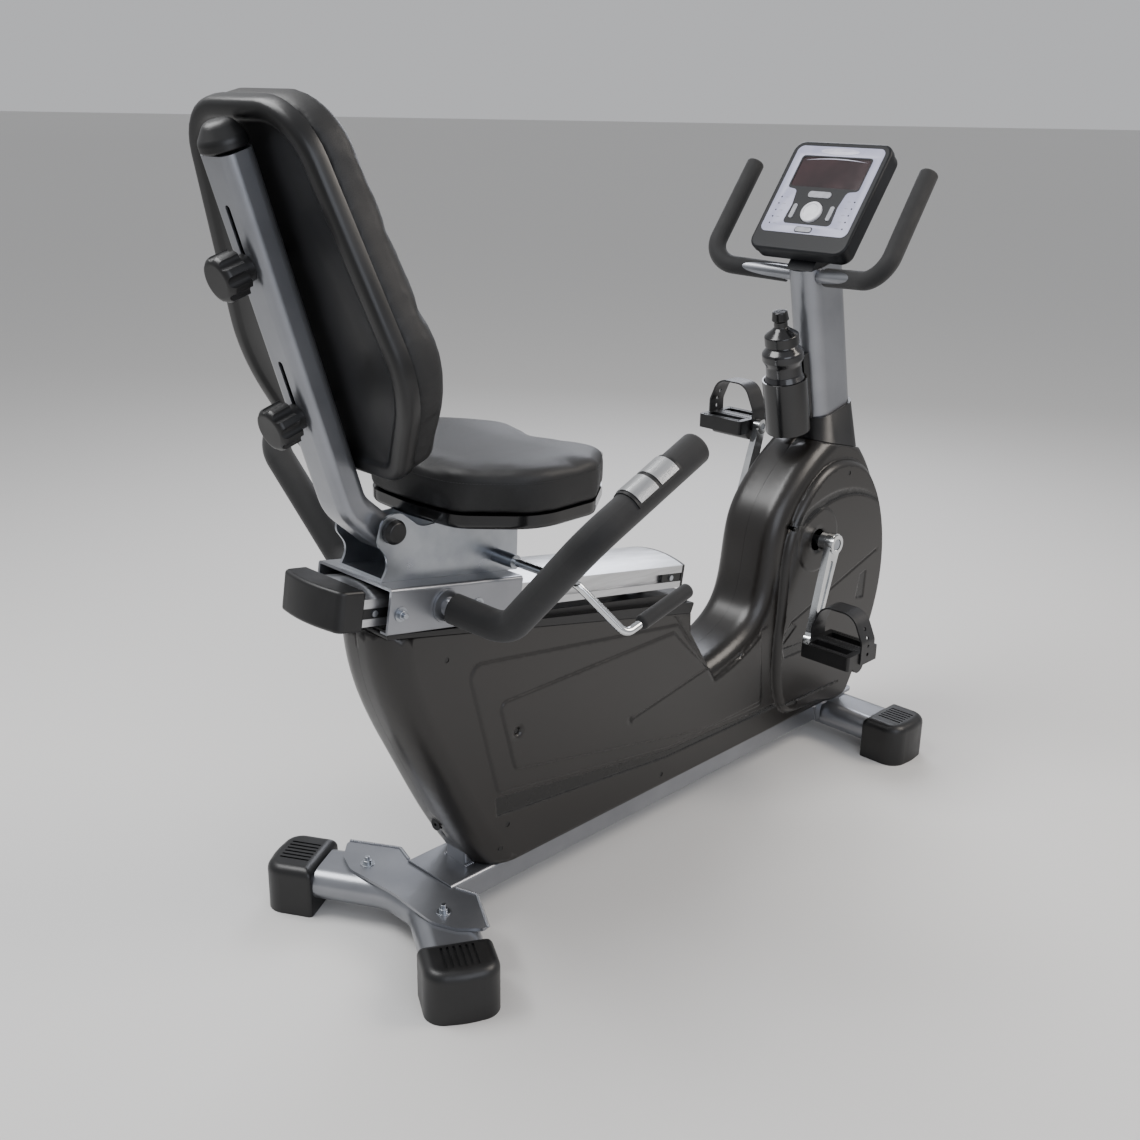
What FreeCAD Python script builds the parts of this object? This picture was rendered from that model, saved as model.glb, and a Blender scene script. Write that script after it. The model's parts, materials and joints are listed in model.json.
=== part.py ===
import FreeCAD, Part
import math
import os
import Sketcher
from FreeCAD import Placement, Rotation, Vector

# A recumbent exercise bike. The model is drawn with X = 0 at the crank axis, Y = 0 on the
# mid-plane and Z = 0 on the floor, +X forward and +Y to the rider's left. Every sub-part is
# then moved forward by crank_forward, which puts the origin under the middle of the bike.

SIZES = {
    "crank_forward": 457.06, "crank_height": 435.7, "crank_length": 178, "crank_turn": 22.35,
    "rail_width": 105, "rail_depth": 41, "rail_bottom": 40, "rail_wall": 2.5,
    "rail_rear": -860, "rail_front": 80, "rail_corner": 6,
    "foot_tube_width": 95, "foot_tube_depth": 50, "foot_tube_bottom": 22, "foot_tube_wall": 2.5,
    "foot_reach": 153, "rear_foot_at": -880, "front_foot_at": 135, "foot_sweep": 30,
    "cap_length": 84, "cap_width": 108, "cap_height": 80, "cap_round": 15, "rib_pitch": 9,
    "plate_thick": 5, "post_width": 44, "post_depth": 36,
    "axle_radius": 8.5, "axle_half": 98, "shell_radius": 21, "bearing_radius": 16,
    "running_gap": 0.03, "pulley_radius": 95, "pulley_width": 14, "pulley_at": 28,
    "flywheel_forward": 115, "flywheel_height": 250, "flywheel_radius": 95,
    "flywheel_thick": 30, "flywheel_pulley_radius": 14,
    "cover_half": 62, "lobe_half": 75, "cover_wall": 2.6,
    "seat_rail_length": 650, "seat_rail_width": 124, "seat_rail_depth": 37, "rail_crown": 10,
    "seat_rail_slope": 9.4, "seat_rail_at": -690.8, "seat_rail_height": 506.5,
    "carriage_half": 80, "carriage_sheet": 4, "carriage_length": 237,
    "bracket_half": 47, "bracket_sheet": 4,
    "lever_radius": 6, "lever_grip_radius": 11,
    "back_post_width": 60, "back_post_depth": 44, "back_post_wall": 2.5, "back_lean": 17.5,
    "shell_thick": 22, "back_cushion_thick": 45, "slot_width": 9, "slot_length": 92,
    "knob_radius": 28, "knob_length": 30, "knob_screw_radius": 4,
    "pan_thick": 20, "seat_cushion_thick": 60,
    "handle_tube_radius": 14, "handle_foam_radius": 21.5, "sensor_length": 82,
    "mast_length": 110, "mast_width": 62, "mast_wall": 3, "mast_height": 312, "mast_lean": 12.9,
    "bar_radius": 12.5, "bar_foam_radius": 16,
    "bottle_radius": 36.5, "bottle_back": 110, "bottle_low": 41,
    "console_width": 200, "console_height": 220, "console_tilt": 37.2,
    "console_front_thick": 14, "console_back_thick": 25,
    "dial_radius": 20, "button_travel": 1.2,
    "pedal_width": 100, "pedal_length": 92, "pedal_thick": 26, "strap_width": 40,
    "strap_height": 78,
}

doc = FreeCAD.newDocument("ExerciseBike")
sheet = doc.addObject("Spreadsheet::Sheet", "Sizes")
for row, (alias, value) in enumerate(SIZES.items(), start=1):
    sheet.set("A%d" % row, alias.replace("_", " "))
    sheet.set("B%d" % row, str(value))
    sheet.setAlias("B%d" % row, alias)
doc.recompute()

sub_parts = []
frame_bolts = []
seat_bolts = []


def size(alias):
    """A driving dimension from the sheet, in millimetres or degrees."""
    return float(sheet.get(alias))


def pose(x=0, y=0, z=0, axis=(0, 0, 1), angle=0):
    """A placement from a position and one turn about an axis."""
    return Placement(Vector(x, y, z), Rotation(Vector(*axis), angle))


def finish(obj, label, place=None):
    """Names a finished sub-part and puts it in the bike's own frame."""
    obj.Label = label
    obj.Placement = pose(size("crank_forward")) * (place or pose())
    sub_parts.append(obj)
    return obj


def feature(label, shape, place=None):
    """A sub-part whose shape is worked out with Part's own functions."""
    obj = doc.addObject("Part::Feature", label)
    obj.Shape = shape
    return finish(obj, label, place)


def group(label, members, place=None):
    """One sub-part made of several separate solids."""
    obj = doc.addObject("Part::Compound", label)
    obj.Links = members
    return finish(obj, label, place)


def mirrored(source):
    """The same solid on the other side of the mid-plane."""
    obj = doc.addObject("Part::Mirroring", source.Name + "_other")
    obj.Source = source
    obj.Normal = Vector(0, 1, 0)
    return obj


def set_size(obj, prop, value):
    """Sets a size, bound to the sheet where the value is an expression."""
    if isinstance(value, str):
        obj.setExpression(prop, value)
    else:
        setattr(obj, prop, value)


def cylinder(name, radius, length, place=None):
    obj = doc.addObject("Part::Cylinder", name)
    set_size(obj, "Radius", radius)
    set_size(obj, "Height", length)
    obj.Placement = place or pose()
    return obj


def box(name, length, width, height, place=None):
    obj = doc.addObject("Part::Box", name)
    set_size(obj, "Length", length)
    set_size(obj, "Width", width)
    set_size(obj, "Height", height)
    obj.Placement = place or pose()
    return obj


def along_y(x, y, z):
    """A placement whose own Z axis points along +Y."""
    return pose(x, y, z, (1, 0, 0), -90)


def corner_points(before, corner, after, radius):
    """Start, middle and end of the tangent arc that rounds a corner."""
    back = (before - corner).normalize()
    onward = (after - corner).normalize()
    half_angle = back.getAngle(onward) / 2
    reach = radius / math.tan(half_angle)
    bisector = (back + onward).normalize()
    middle = corner + bisector * (radius / math.sin(half_angle) - radius)
    return corner + back * reach, middle, corner + onward * reach


def outline(corners):
    """A closed outline from (u, v, radius) corners, each rounded by a tangent arc."""
    points = [Vector(u, v, 0) for u, v, _ in corners]
    arcs = []
    for i, (_, _, radius) in enumerate(corners):
        after = points[(i + 1) % len(points)]
        arcs.append(corner_points(points[i - 1], points[i], after, max(radius, 0.001)))
    edges = []
    for i, (first, middle, last) in enumerate(arcs):
        if corners[i][2] > 0:
            edges.append(Part.Arc(first, middle, last))
        start = last if corners[i][2] > 0 else points[i]
        following = (i + 1) % len(arcs)
        end = arcs[following][0] if corners[following][2] > 0 else points[following]
        if (end - start).Length > 0.001:
            edges.append(Part.LineSegment(start, end))
    return edges


def rectangle(u0, v0, u1, v1, radius=0):
    return outline([(u0, v0, radius), (u1, v0, radius), (u1, v1, radius), (u0, v1, radius)])


def oval(width, depth, radius, u=0, v=0):
    """A rounded rectangle about a centre; the radius is half the depth on a flat-oval tube."""
    return rectangle(u - width / 2, v - depth / 2, u + width / 2, v + depth / 2, radius)


def circle(u, v, radius):
    return [Part.Circle(Vector(u, v, 0), Vector(0, 0, 1), radius)]


def new_body(name):
    return doc.addObject("PartDesign::Body", name)


def sketch(body, role, loops, offset=0.0):
    """A sketch on one of the body's own origin planes."""
    obj = body.newObject("Sketcher::SketchObject", body.Name + "_sketch")
    plane = [item for item in body.Origin.OriginFeatures if item.Role == role][0]
    obj.AttachmentSupport = (plane, [""])
    obj.MapMode = "FlatFace"
    obj.AttachmentOffset = pose(0, 0, offset)
    for loop in loops:
        for edge in loop:
            obj.addGeometry(edge)
    return obj


def hold_radius(profile, geometry, alias):
    """Binds the radius of one circle of a sketch to a cell of the sheet."""
    radius = profile.Geometry[geometry].Radius
    number = profile.addConstraint(Sketcher.Constraint("Radius", geometry, radius))
    profile.setExpression("Constraints[%d]" % number, alias)


def pad(body, profile, length, side="One side", backwards=False):
    obj = body.newObject("PartDesign::Pad", body.Name + "_pad")
    obj.Profile = profile
    set_size(obj, "Length", length)
    obj.SideType = side
    obj.Reversed = backwards
    return obj


def pocket(body, profile, length, side="One side", backwards=False):
    obj = body.newObject("PartDesign::Pocket", body.Name + "_pocket")
    obj.Profile = profile
    set_size(obj, "Length", length)
    obj.SideType = side
    obj.Reversed = backwards
    return obj


def round_edges(body, radius, chosen):
    """Fillets the edges of the body's last feature that the test picks."""
    doc.recompute()
    last = body.Tip
    names = ["Edge%d" % (i + 1) for i, edge in enumerate(last.Shape.Edges) if chosen(edge)]
    obj = body.newObject("PartDesign::Fillet", body.Name + "_fillet")
    obj.Base = (last, names)
    set_size(obj, "Radius", radius)
    return obj


def turned(name, corners):
    """A body of revolution about its own Z axis, from (radius, height, corner radius)."""
    body = new_body(name)
    profile = sketch(body, "XZ_Plane", [outline(corners)])
    obj = body.newObject("PartDesign::Revolution", name + "_turn")
    obj.Profile = profile
    obj.ReferenceAxis = (profile, ["V_Axis"])
    return body


def bent_path(points, radius):
    """Straight runs joined by tangent arcs."""
    points = [Vector(*point) for point in points]
    edges = []
    start = points[0]
    for before, corner, after in zip(points, points[1:], points[2:]):
        first, middle, last = corner_points(before, corner, after, radius)
        edges.append(Part.LineSegment(start, first).toShape())
        edges.append(Part.Arc(first, middle, last).toShape())
        start = last
    edges.append(Part.LineSegment(start, points[-1]).toShape())
    return Part.Wire(edges)


def rod(path, radius):
    """A round bar along a path."""
    edge = path.Edges[0]
    start = edge.valueAt(edge.FirstParameter)
    heading = edge.tangentAt(edge.FirstParameter)
    ring = Part.Wire(Part.Circle(start, heading, radius).toShape())
    return path.makePipeShell([ring], True, False)


def profile_along(path, edges, place):
    """A flat profile, given in its own XY plane, carried along a path."""
    wire = Part.Wire([edge.toShape() for edge in edges])
    wire.Placement = place
    return path.makePipeShell([wire], True, False)


def flip(shape):
    """A shape mirrored about the mid-plane."""
    return shape.mirror(Vector(0, 0, 0), Vector(0, 1, 0))


def plane_face(edges):
    return Part.Face(Part.Wire(Part.__sortEdges__([edge.toShape() for edge in edges])))


def upright_slab(edges, half):
    """A side-view outline (X, Z) given an equal thickness each side of the mid-plane."""
    face = plane_face(edges)
    face.Placement = pose(0, half, 0, (1, 0, 0), 90)
    return face.extrude(Vector(0, -2 * half, 0))


# ---------------------------------------------------------------- base frame

def rail_point(along, height):
    """A point of the seat rail's own frame, given as (X, Z) of the bike."""
    slope = math.radians(size("seat_rail_slope"))
    x = size("seat_rail_at") + along * math.cos(slope) + height * math.sin(slope)
    z = size("seat_rail_height") - along * math.sin(slope) + height * math.cos(slope)
    return x, z


def rail_frame():
    return pose(size("seat_rail_at"), 0, size("seat_rail_height"), (0, 1, 0), size("seat_rail_slope"))


def foot_tube_top():
    return size("foot_tube_bottom") + size("foot_tube_depth")


def foot_tube_middle():
    return size("foot_tube_bottom") + size("foot_tube_depth") / 2


def main_rail():
    body = new_body("main_rail")
    width = size("rail_width")
    depth = size("rail_depth")
    wall = size("rail_wall")
    corner = size("rail_corner")
    middle = size("rail_bottom") + depth / 2
    outer = oval(width, depth, corner, 0, middle)
    inner = oval(width - 2 * wall, depth - 2 * wall, corner - wall, 0, middle)
    rail_section = sketch(body, "YZ_Plane", [outer, inner], size("rail_rear"))
    pad(body, rail_section, "Sizes.rail_front - Sizes.rail_rear")
    cope = oval(size("foot_tube_width") + 1, size("foot_tube_depth") + 0.6,
                size("foot_tube_depth") / 2, size("rear_foot_at"), foot_tube_middle())
    pocket(body, sketch(body, "XZ_Plane", [cope]), "Sizes.rail_width + 10", "Symmetric")
    top = foot_tube_top() + 0.3
    saddle = outline([(-856, -50, 10), (-843, -92, 12), (-888, -166, 10), (-921, -133, 14),
                      (-936, -96, 40), (-929, 0, 200), (-936, 96, 40), (-921, 133, 14),
                      (-888, 166, 10), (-843, 92, 12), (-856, 50, 10)])
    bolts = [circle(-908, side * 89.6, 4.3) for side in (-1, 1)]
    pad(body, sketch(body, "XY_Plane", [saddle] + bolts, top), "Sizes.plate_thick")
    cradle = rectangle(60, -58, 192, 58, 12)
    holes = [circle(size("front_foot_at"), side * 40, 4.3) for side in (-1, 1)]
    pad(body, sketch(body, "XY_Plane", [cradle] + holes, top), "Sizes.plate_thick")
    cheek = outline([(70, 40, 4), (84, 40, 4), (84, 60, 4), (92, 79, 3), (70, 79, 3)])
    for side in (-1, 1):
        pad(body, sketch(body, "XZ_Plane", [cheek], side * 54.5), 4, "Symmetric")
    finish(body, "main_rail")


def tube_section():
    width = size("foot_tube_width")
    depth = size("foot_tube_depth")
    wall = size("foot_tube_wall")
    round_off = depth / 2 - 1
    return (oval(width, depth, round_off),
            oval(width - 2 * wall, depth - 2 * wall, round_off - wall))


def sweep_turn():
    return math.radians(size("foot_sweep"))


def foot_end(side):
    """Centre of a swept tube's end, where its cap starts."""
    across = size("foot_reach") - 45
    x = size("rear_foot_at") - across * math.tan(sweep_turn())
    return Vector(x, side * size("foot_reach"), foot_tube_middle())


def bolt_holes(x, y):
    """Cutters for the bolts through the top wall of a foot tube."""
    return Part.makeCylinder(4.3, 20, Vector(x, y, foot_tube_top() - 10))


def rear_stabilizer():
    ends = [foot_end(-1), Vector(size("rear_foot_at"), -45, foot_tube_middle())]
    ends += [Vector(size("rear_foot_at"), 45, foot_tube_middle()), foot_end(1)]
    path = bent_path([tuple(point) for point in ends], 110)
    turn = 90 - size("foot_sweep")
    start = Placement(ends[0], Rotation(Vector(0, 0, 1), turn) * Rotation(Vector(1, 1, 1), 120))
    outer, inner = tube_section()
    shape = profile_along(path, outer, start).cut(profile_along(path, inner, start))
    for side in (-1, 1):
        shape = shape.cut(bolt_holes(-908, side * 89.6))
    feature("rear_stabilizer", shape)


def front_stabilizer():
    body = new_body("front_stabilizer")
    loops = list(tube_section())
    pad(body, sketch(body, "XZ_Plane", loops), "2 * Sizes.foot_reach", "Symmetric")
    for side in (-1, 1):
        hole = sketch(body, "XY_Plane", [circle(0, side * 40, 4.3)])
        pocket(body, hole, 40, backwards=True)
    finish(body, "front_stabilizer", pose(size("front_foot_at"), 0, foot_tube_middle()))


def end_cap(name):
    """An end cap pointing along its own +X, with ribs cut in its top and a plug inside the tube."""
    body = new_body(name)
    length = size("cap_length")
    half = size("cap_width") / 2
    plan = outline([(0, -half, 6), (length - 6, -half, 30), (length, 0, 120),
                    (length - 6, half, 30), (0, half, 6)])
    pad(body, sketch(body, "XY_Plane", [plan]), "Sizes.cap_height")
    round_edges(body, "Sizes.cap_round",
                lambda edge: edge.BoundBox.ZMin > size("cap_height") - 1 and edge.BoundBox.XMax > 7)
    slots = [rectangle(16, k * size("rib_pitch") - 1.8, 64, k * size("rib_pitch") + 1.8, 1.5)
             for k in (-2.5, -1.5, -0.5, 0.5, 1.5, 2.5)]
    pocket(body, sketch(body, "XY_Plane", slots, size("cap_height")), 3)
    gap = 2 * size("foot_tube_wall") + 0.6
    plug = oval(size("foot_tube_width") - gap, size("foot_tube_depth") - gap,
                size("foot_tube_depth") / 2 - gap / 2 - 1, 0, foot_tube_middle())
    pad(body, sketch(body, "YZ_Plane", [plug], 5), 25, backwards=True)
    return body


def end_caps():
    swept = end_cap("rear_cap")
    swept.Placement = Placement(Vector(foot_end(1).x, foot_end(1).y, 0),
                                Rotation(Vector(0, 0, 1), 90 + size("foot_sweep")))
    straight = end_cap("front_cap")
    straight.Placement = pose(size("front_foot_at"), size("foot_reach"), 0, (0, 0, 1), 90)
    group("stabilizer_feet", [swept, mirrored(swept), straight, mirrored(straight)])


def domed_bolt(name, x, y):
    """A domed bolt with its washer, head up, through a plate into a foot tube."""
    head = foot_tube_top() + 0.3 + size("plate_thick")
    body = turned(name, [(0, head - 20, 0), (4, head - 20, 1), (4, head, 0), (11, head, 0),
                         (11, head + 1.5, 0.5), (6.5, head + 1.5, 0), (6.5, head + 7, 1),
                         (4, head + 7, 0), (4, head + 13, 1), (0, head + 13, 0)])
    body.Placement = pose(x, y, 0)
    return body


def stabilizer_bolts():
    spots = [(-908, -89.6), (-908, 89.6), (size("front_foot_at"), -40), (size("front_foot_at"), 40)]
    members = [domed_bolt("foot_bolt_%d" % i, x, y) for i, (x, y) in enumerate(spots, start=1)]
    frame_bolts.extend(members)


POST_PLACES = {"rear_post": -790, "front_post": -430}


def post_top(x):
    """The height of the seat rail's underside above a seat post."""
    along = (x - size("seat_rail_at")) / math.cos(math.radians(size("seat_rail_slope")))
    return rail_point(along, -size("seat_rail_depth") / 2)[1]


def seat_posts():
    """Two box tubes that carry the seat rail from the main rail."""
    width = size("post_width")
    depth = size("post_depth")
    posts = []
    for name, x in POST_PLACES.items():
        body = new_body(name)
        loops = [oval(depth, width, 4), oval(depth - 5, width - 5, 2)]
        bottom = size("rail_bottom") + size("rail_depth")
        top = post_top(x)
        pad(body, sketch(body, "XY_Plane", loops, bottom), top - bottom - 4)
        head = oval(depth + 30, width + 16, 6)
        pad(body, sketch(body, "XY_Plane", [head], top - 12), 4)
        body.Placement = pose(x)
        posts.append(body)
    group("seat_posts", posts)


UPRIGHT_PATH = [(-30, 0, 81), (0, 0, 435.7), (112, 0, 570)]


def frame_upright():
    """The hidden upright, with the crank's bearing shell and the flywheel's fork."""
    path = bent_path(UPRIGHT_PATH, 60)
    start = pose(UPRIGHT_PATH[0][0], 0, UPRIGHT_PATH[0][2])
    shape = profile_along(path, oval(44, 40, 4), start)
    crank = Vector(0, 0, size("crank_height"))
    shell = Part.makeCylinder(size("shell_radius"), 68, crank - Vector(0, 44, 0), Vector(0, 1, 0))
    plate = outline([(-30, 215, 8), (-22, 290, 8), (118, 272, 20), (132, 250, 20),
                     (110, 228, 14), (40, 168, 12), (10, 160, 14), (-30, 170, 6)])
    fork = upright_slab(plate, 24).cut(upright_slab(plate, 20))
    top = Part.makeBox(80, 56, 6, Vector(64, -28, 570))
    shape = shape.fuse([shell, fork, top])
    bore = size("bearing_radius") + size("running_gap")
    shape = shape.cut(Part.makeCylinder(bore, 90, crank - Vector(0, 45, 0), Vector(0, 1, 0)))
    wheel = Vector(size("flywheel_forward"), -30, size("flywheel_height"))
    shape = shape.cut(Part.makeCylinder(13 + size("running_gap"), 60, wheel, Vector(0, 1, 0)))
    shape = shape.cut(Part.makeCylinder(4.05, 60, Vector(*MAGNET_PIVOT), Vector(0, 1, 0)))
    feature("frame_upright", shape.removeSplitter())


MAGNET_PIVOT = (18, -30, 182)


def ring(name, outer, inner, length, place):
    """A plain bearing or ring about its own Z axis."""
    body = new_body(name)
    profile = sketch(body, "XY_Plane", [circle(0, 0, outer), circle(0, 0, inner)])
    pad(body, profile, length)
    body.Placement = place
    return body


def bearings():
    """The crank's two bearings and the flywheel's two."""
    rings = []
    inner = size("axle_radius") + size("running_gap")
    for word, start in (("right", -43), ("left", 11)):
        place = along_y(0, start, size("crank_height"))
        rings.append(ring("crank_bearing_" + word, size("bearing_radius"), inner, 12, place))
    for word, start in (("right", -25.5), ("left", 18)):
        place = along_y(size("flywheel_forward"), start, size("flywheel_height"))
        rings.append(ring("wheel_bearing_" + word, 13, 6 + size("running_gap"), 7.5, place))
    group("bearings", rings)


# ---------------------------------------------------------------- drive

def crank_axle():
    half = size("axle_half")
    radius = size("axle_radius")
    body = turned("axle_shaft", [(0, -half, 0), (radius, -half, 1), (radius, 24, 0), (26, 24, 0),
                                 (26, 27.9, 0), (radius, 27.9, 0), (radius, half, 1), (0, half, 0)])
    bolts = [cylinder("crank_bolt_right", 9.5, 3, pose(0, 0, -116.1)),
             cylinder("crank_bolt_left", 9.5, 3, pose(0, 0, 113.1))]
    group("crank_axle", [body] + bolts, along_y(0, 0, size("crank_height")))


def drive_pulley():
    body = new_body("drive_pulley")
    radius = size("pulley_radius")
    bore = size("axle_radius") + size("running_gap")
    profile = sketch(body, "XY_Plane", [circle(0, 0, radius), circle(0, 0, bore)])
    hold_radius(profile, 0, "Sizes.pulley_radius")
    pad(body, profile, "Sizes.pulley_width")
    window = [circle(58 * math.cos(k * math.pi / 3), 58 * math.sin(k * math.pi / 3), 19)
              for k in range(6)]
    pocket(body, sketch(body, "XY_Plane", window), 20, backwards=True)
    finish(body, "drive_pulley", along_y(0, size("pulley_at"), size("crank_height")))


def flywheel():
    radius = size("flywheel_radius")
    half = size("flywheel_thick") / 2
    wheel = turned("flywheel_disc", [(0, -28, 0), (6, -28, 0.5), (6, -half - 2, 0), (20, -half - 2, 2),
                               (24, -6, 4), (radius - 22, -6, 4), (radius - 16, -half, 4),
                               (radius, -half, 1.5), (radius, half, 1.5), (radius - 16, half, 4),
                               (radius - 22, 6, 4), (24, 6, 4), (20, half + 2, 2), (6, half + 2, 0),
                               (6, 46, 0.5), (0, 46, 0)])
    place = pose(0, 0, size("pulley_at"))
    small = ring("flywheel_pulley", size("flywheel_pulley_radius"), 6.02, 14, place)
    place = along_y(size("flywheel_forward"), 0, size("flywheel_height"))
    group("flywheel", [wheel, small], place)


def drive_belt():
    """A flat belt round both pulleys, 2 mm thick."""
    big = size("pulley_radius")
    small = size("flywheel_pulley_radius")
    crank = Vector(0, size("crank_height"), 0)
    wheel = Vector(size("flywheel_forward"), size("flywheel_height"), 0)
    span = (wheel - crank).Length
    heading = (wheel - crank).normalize()

    def loop(gap):
        lean = math.acos((big - small) / span)
        ends = []
        for side in (1, -1):
            turn = Rotation(Vector(0, 0, 1), math.degrees(side * lean))
            outward = turn.multVec(heading)
            ends.append((crank + outward * (big + gap), wheel + outward * (small + gap)))
        return [Part.Arc(ends[0][0], crank - heading * (big + gap), ends[1][0]),
                Part.LineSegment(ends[1][0], ends[1][1]),
                Part.Arc(ends[1][1], wheel + heading * (small + gap), ends[0][1]),
                Part.LineSegment(ends[0][1], ends[0][0])]

    body = new_body("drive_belt")
    middle = size("pulley_at") + size("pulley_width") / 2
    profile = sketch(body, "XZ_Plane", [loop(0.06), loop(2.06)], -middle)
    pad(body, profile, 11, "Symmetric")
    finish(body, "drive_belt")


def magnet_carrier():
    """The brake shoe that holds the magnets round the flywheel's rim, on its own pins."""
    x = size("flywheel_forward")
    z = size("flywheel_height")
    rim = size("flywheel_radius")
    arc = Part.makeCylinder(rim + 14, 30, Vector(x, -15, z), Vector(0, 1, 0))
    arc = arc.cut(Part.makeCylinder(rim + 3, 30, Vector(x, -15, z), Vector(0, 1, 0)))
    wedge = upright_slab(outline([(x, z, 0), (-15, 178, 0), (30, 120, 0), (70, 110, 0)]), 15)
    shoe = arc.common(wedge)
    pivot = Vector(*MAGNET_PIVOT) + Vector(0, 15, 0)
    eye = Part.makeCylinder(10, 30, pivot, Vector(0, 1, 0))
    pin = Part.makeCylinder(4, 52, pivot - Vector(0, 11, 0), Vector(0, 1, 0))
    feature("magnet_carrier", shoe.fuse([eye, pin]).removeSplitter())


# ---------------------------------------------------------------- covers

def spline(points, closed=False):
    curve = Part.BSplineCurve()
    curve.interpolate([Vector(x, z, 0) for x, z in points], PeriodicFlag=closed)
    return curve


COVER_REAR = [(-978, 513), (-958, 400), (-906, 283), (-838, 150), (-794, 81.5)]
COVER_FRONT = [(158, 81.5), (205, 180), (243, 290), (243, 385), (220, 470), (152, 577)]
COVER_SADDLE = [(21, 610), (-60, 552), (-108, 490), (-127, 400), (-150, 328), (-205, 290), (-287, 268)]
COVER_STEP = [(-338, 345), (-340, 381)]
LOBE = [(150, 96), (196, 182), (232, 292), (232, 385), (210, 462), (140, 550), (30, 566),
        (-40, 520), (-84, 440), (-92, 330), (-96, 200), (-60, 110), (40, 92)]


def moved_in(points, gap):
    """The points of a closed outline, each moved inwards by a gap."""
    moved = []
    for i, (x, z) in enumerate(points):
        before = points[i - 1]
        after = points[(i + 1) % len(points)]
        first = Vector(before[1] - z, x - before[0], 0).normalize()
        second = Vector(z - after[1], after[0] - x, 0).normalize()
        shift = (first + second) * (gap / (1 + first.dot(second)))
        moved.append((x + shift.x, z + shift.y))
    return moved


def cover_outline(gap):
    """The covers' side view, closed, moved inwards by a gap."""
    points = moved_in(COVER_FRONT + COVER_SADDLE + COVER_STEP + COVER_REAR, gap)
    front = points[:len(COVER_FRONT)]
    saddle = points[len(front):len(front) + len(COVER_SADDLE)]
    rear = points[-len(COVER_REAR):]
    corners = [saddle[-1]] + points[-len(COVER_REAR) - 2:-len(COVER_REAR)] + [rear[0]]
    runs = [(rear[-1], front[0]), (front[-1], saddle[0])] + list(zip(corners, corners[1:]))
    edges = [Part.LineSegment(Vector(*start, 0), Vector(*end, 0)) for start, end in runs]
    return edges + [spline(front), spline(saddle), spline(rear)]


def long_edges(solid, low, high, height):
    """The side edges between two X stations that are at least so tall."""
    return [edge for edge in solid.Edges
            if edge.BoundBox.XMin > low and edge.BoundBox.XMax < high
            and edge.BoundBox.YLength < 1 and edge.BoundBox.ZLength > height]


def cover_solid(gap):
    main = upright_slab(cover_outline(gap), size("cover_half") - gap)
    main = main.makeFillet(46 - gap, long_edges(main, -1000, -700, 300))
    main = main.makeFillet(30 - gap, long_edges(main, -300, 60, 250))
    main = main.makeFillet(22 - gap, long_edges(main, 120, 300, 300))
    lobe = upright_slab([spline(moved_in(LOBE, gap), True)], size("lobe_half") - gap)
    lobe = lobe.makeChamfer(9, [edge for edge in lobe.Edges if edge.BoundBox.YLength < 0.01])
    return main.fuse(lobe)


SCREW_PLACES = [(-871, 453), (-738, 299), (-756, 148), (-770, 111), (-399, 101), (-199, 264),
                (-30, 120), (-70, 470), (86, 545)]


def shell_cutters():
    """Openings through the covers and the deck for the posts, the upright and the axle."""
    cutters = []
    for x in POST_PLACES.values():
        cutters.append(Part.makeBox(size("post_depth") + 1, size("post_width") + 1, 600,
                                    Vector(x - size("post_depth") / 2 - 0.5,
                                           -size("post_width") / 2 - 0.5, 60)))
    cutters.append(Part.makeBox(60, 46, 30, Vector(-60, -23, 70)))
    z = size("crank_height")
    cutters.append(Part.makeCylinder(20, 200, Vector(0, -100, z), Vector(0, 1, 0)))
    cutters.append(Part.makeBox(102, 58, 60, Vector(48, -29, 560)))
    cutters.append(Part.makeCylinder(9.8, 60, Vector(-885, 0, 158), Vector(1, 0, 0)))
    for side in (-1, 1):
        cutters.append(Part.makeCylinder(12.5, 40, Vector(size("front_foot_at"), side * 40, 60)))
    for x, z in SCREW_PLACES:
        cutters.append(Part.makeCylinder(4.2, 200, Vector(x, -100, z), Vector(0, 1, 0)))
    return cutters


def covers():
    wall = size("cover_wall")
    shell = cover_solid(0).cut(cover_solid(wall))
    shell = shell.cut(shell_cutters())
    half = shell.common(Part.makeBox(1400, 119.85, 700, Vector(-1100, 0.15, 0)))
    feature("shroud_left", half)
    feature("shroud_right", flip(half))


def cover_screws():
    members = []
    for i, (x, z) in enumerate(SCREW_PLACES, start=1):
        wide = -96 < x < 150 and z < 560 and i > 6
        depth = (size("lobe_half") if wide else size("cover_half")) - 0.8
        for side in (-1, 1):
            start = depth - 3 if side > 0 else -depth
            name = "cover_screw_%d_%s" % (i, "left" if side > 0 else "right")
            members.append(cylinder(name, 4, 3, along_y(x, start, z)))
    group("cover_screws", members)


def shroud_deck():
    """The black deck between the covers and the seat rail."""
    rear_top = rail_point(-283, -31)
    front_top = rail_point(366, -31)
    lift = 0.4
    wide = [(-974, 513 + lift, 2), (-342, 381.5 + lift, 2), (-334, 399, 3), (-974, rear_top[1] - 3, 2)]
    top = [(-966, 514, 2), (-345, 385, 2), (front_top[0], front_top[1] - 2, 6), (rear_top[0], rear_top[1], 4)]
    shape = upright_slab(outline(wide), 64).fuse(upright_slab(outline(top), 52))
    shape = shape.cut(shell_cutters()[:2])
    length = size("post_depth") + 31
    width = size("post_width") + 17
    for x in POST_PLACES.values():
        corner = Vector(x - length / 2, -width / 2, post_top(x) - 12.5)
        shape = shape.cut(Part.makeBox(length, width, 60, corner))
    feature("shroud_deck", shape.removeSplitter())


def mast_frame(along=0, forward=0):
    """A place on the mast: its own Z runs up the mast, its own X points forward."""
    turn = Placement(Vector(105, 0, 617), Rotation(Vector(0, 1, 0), -size("mast_lean")))
    return turn * pose(forward, 0, along)


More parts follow.
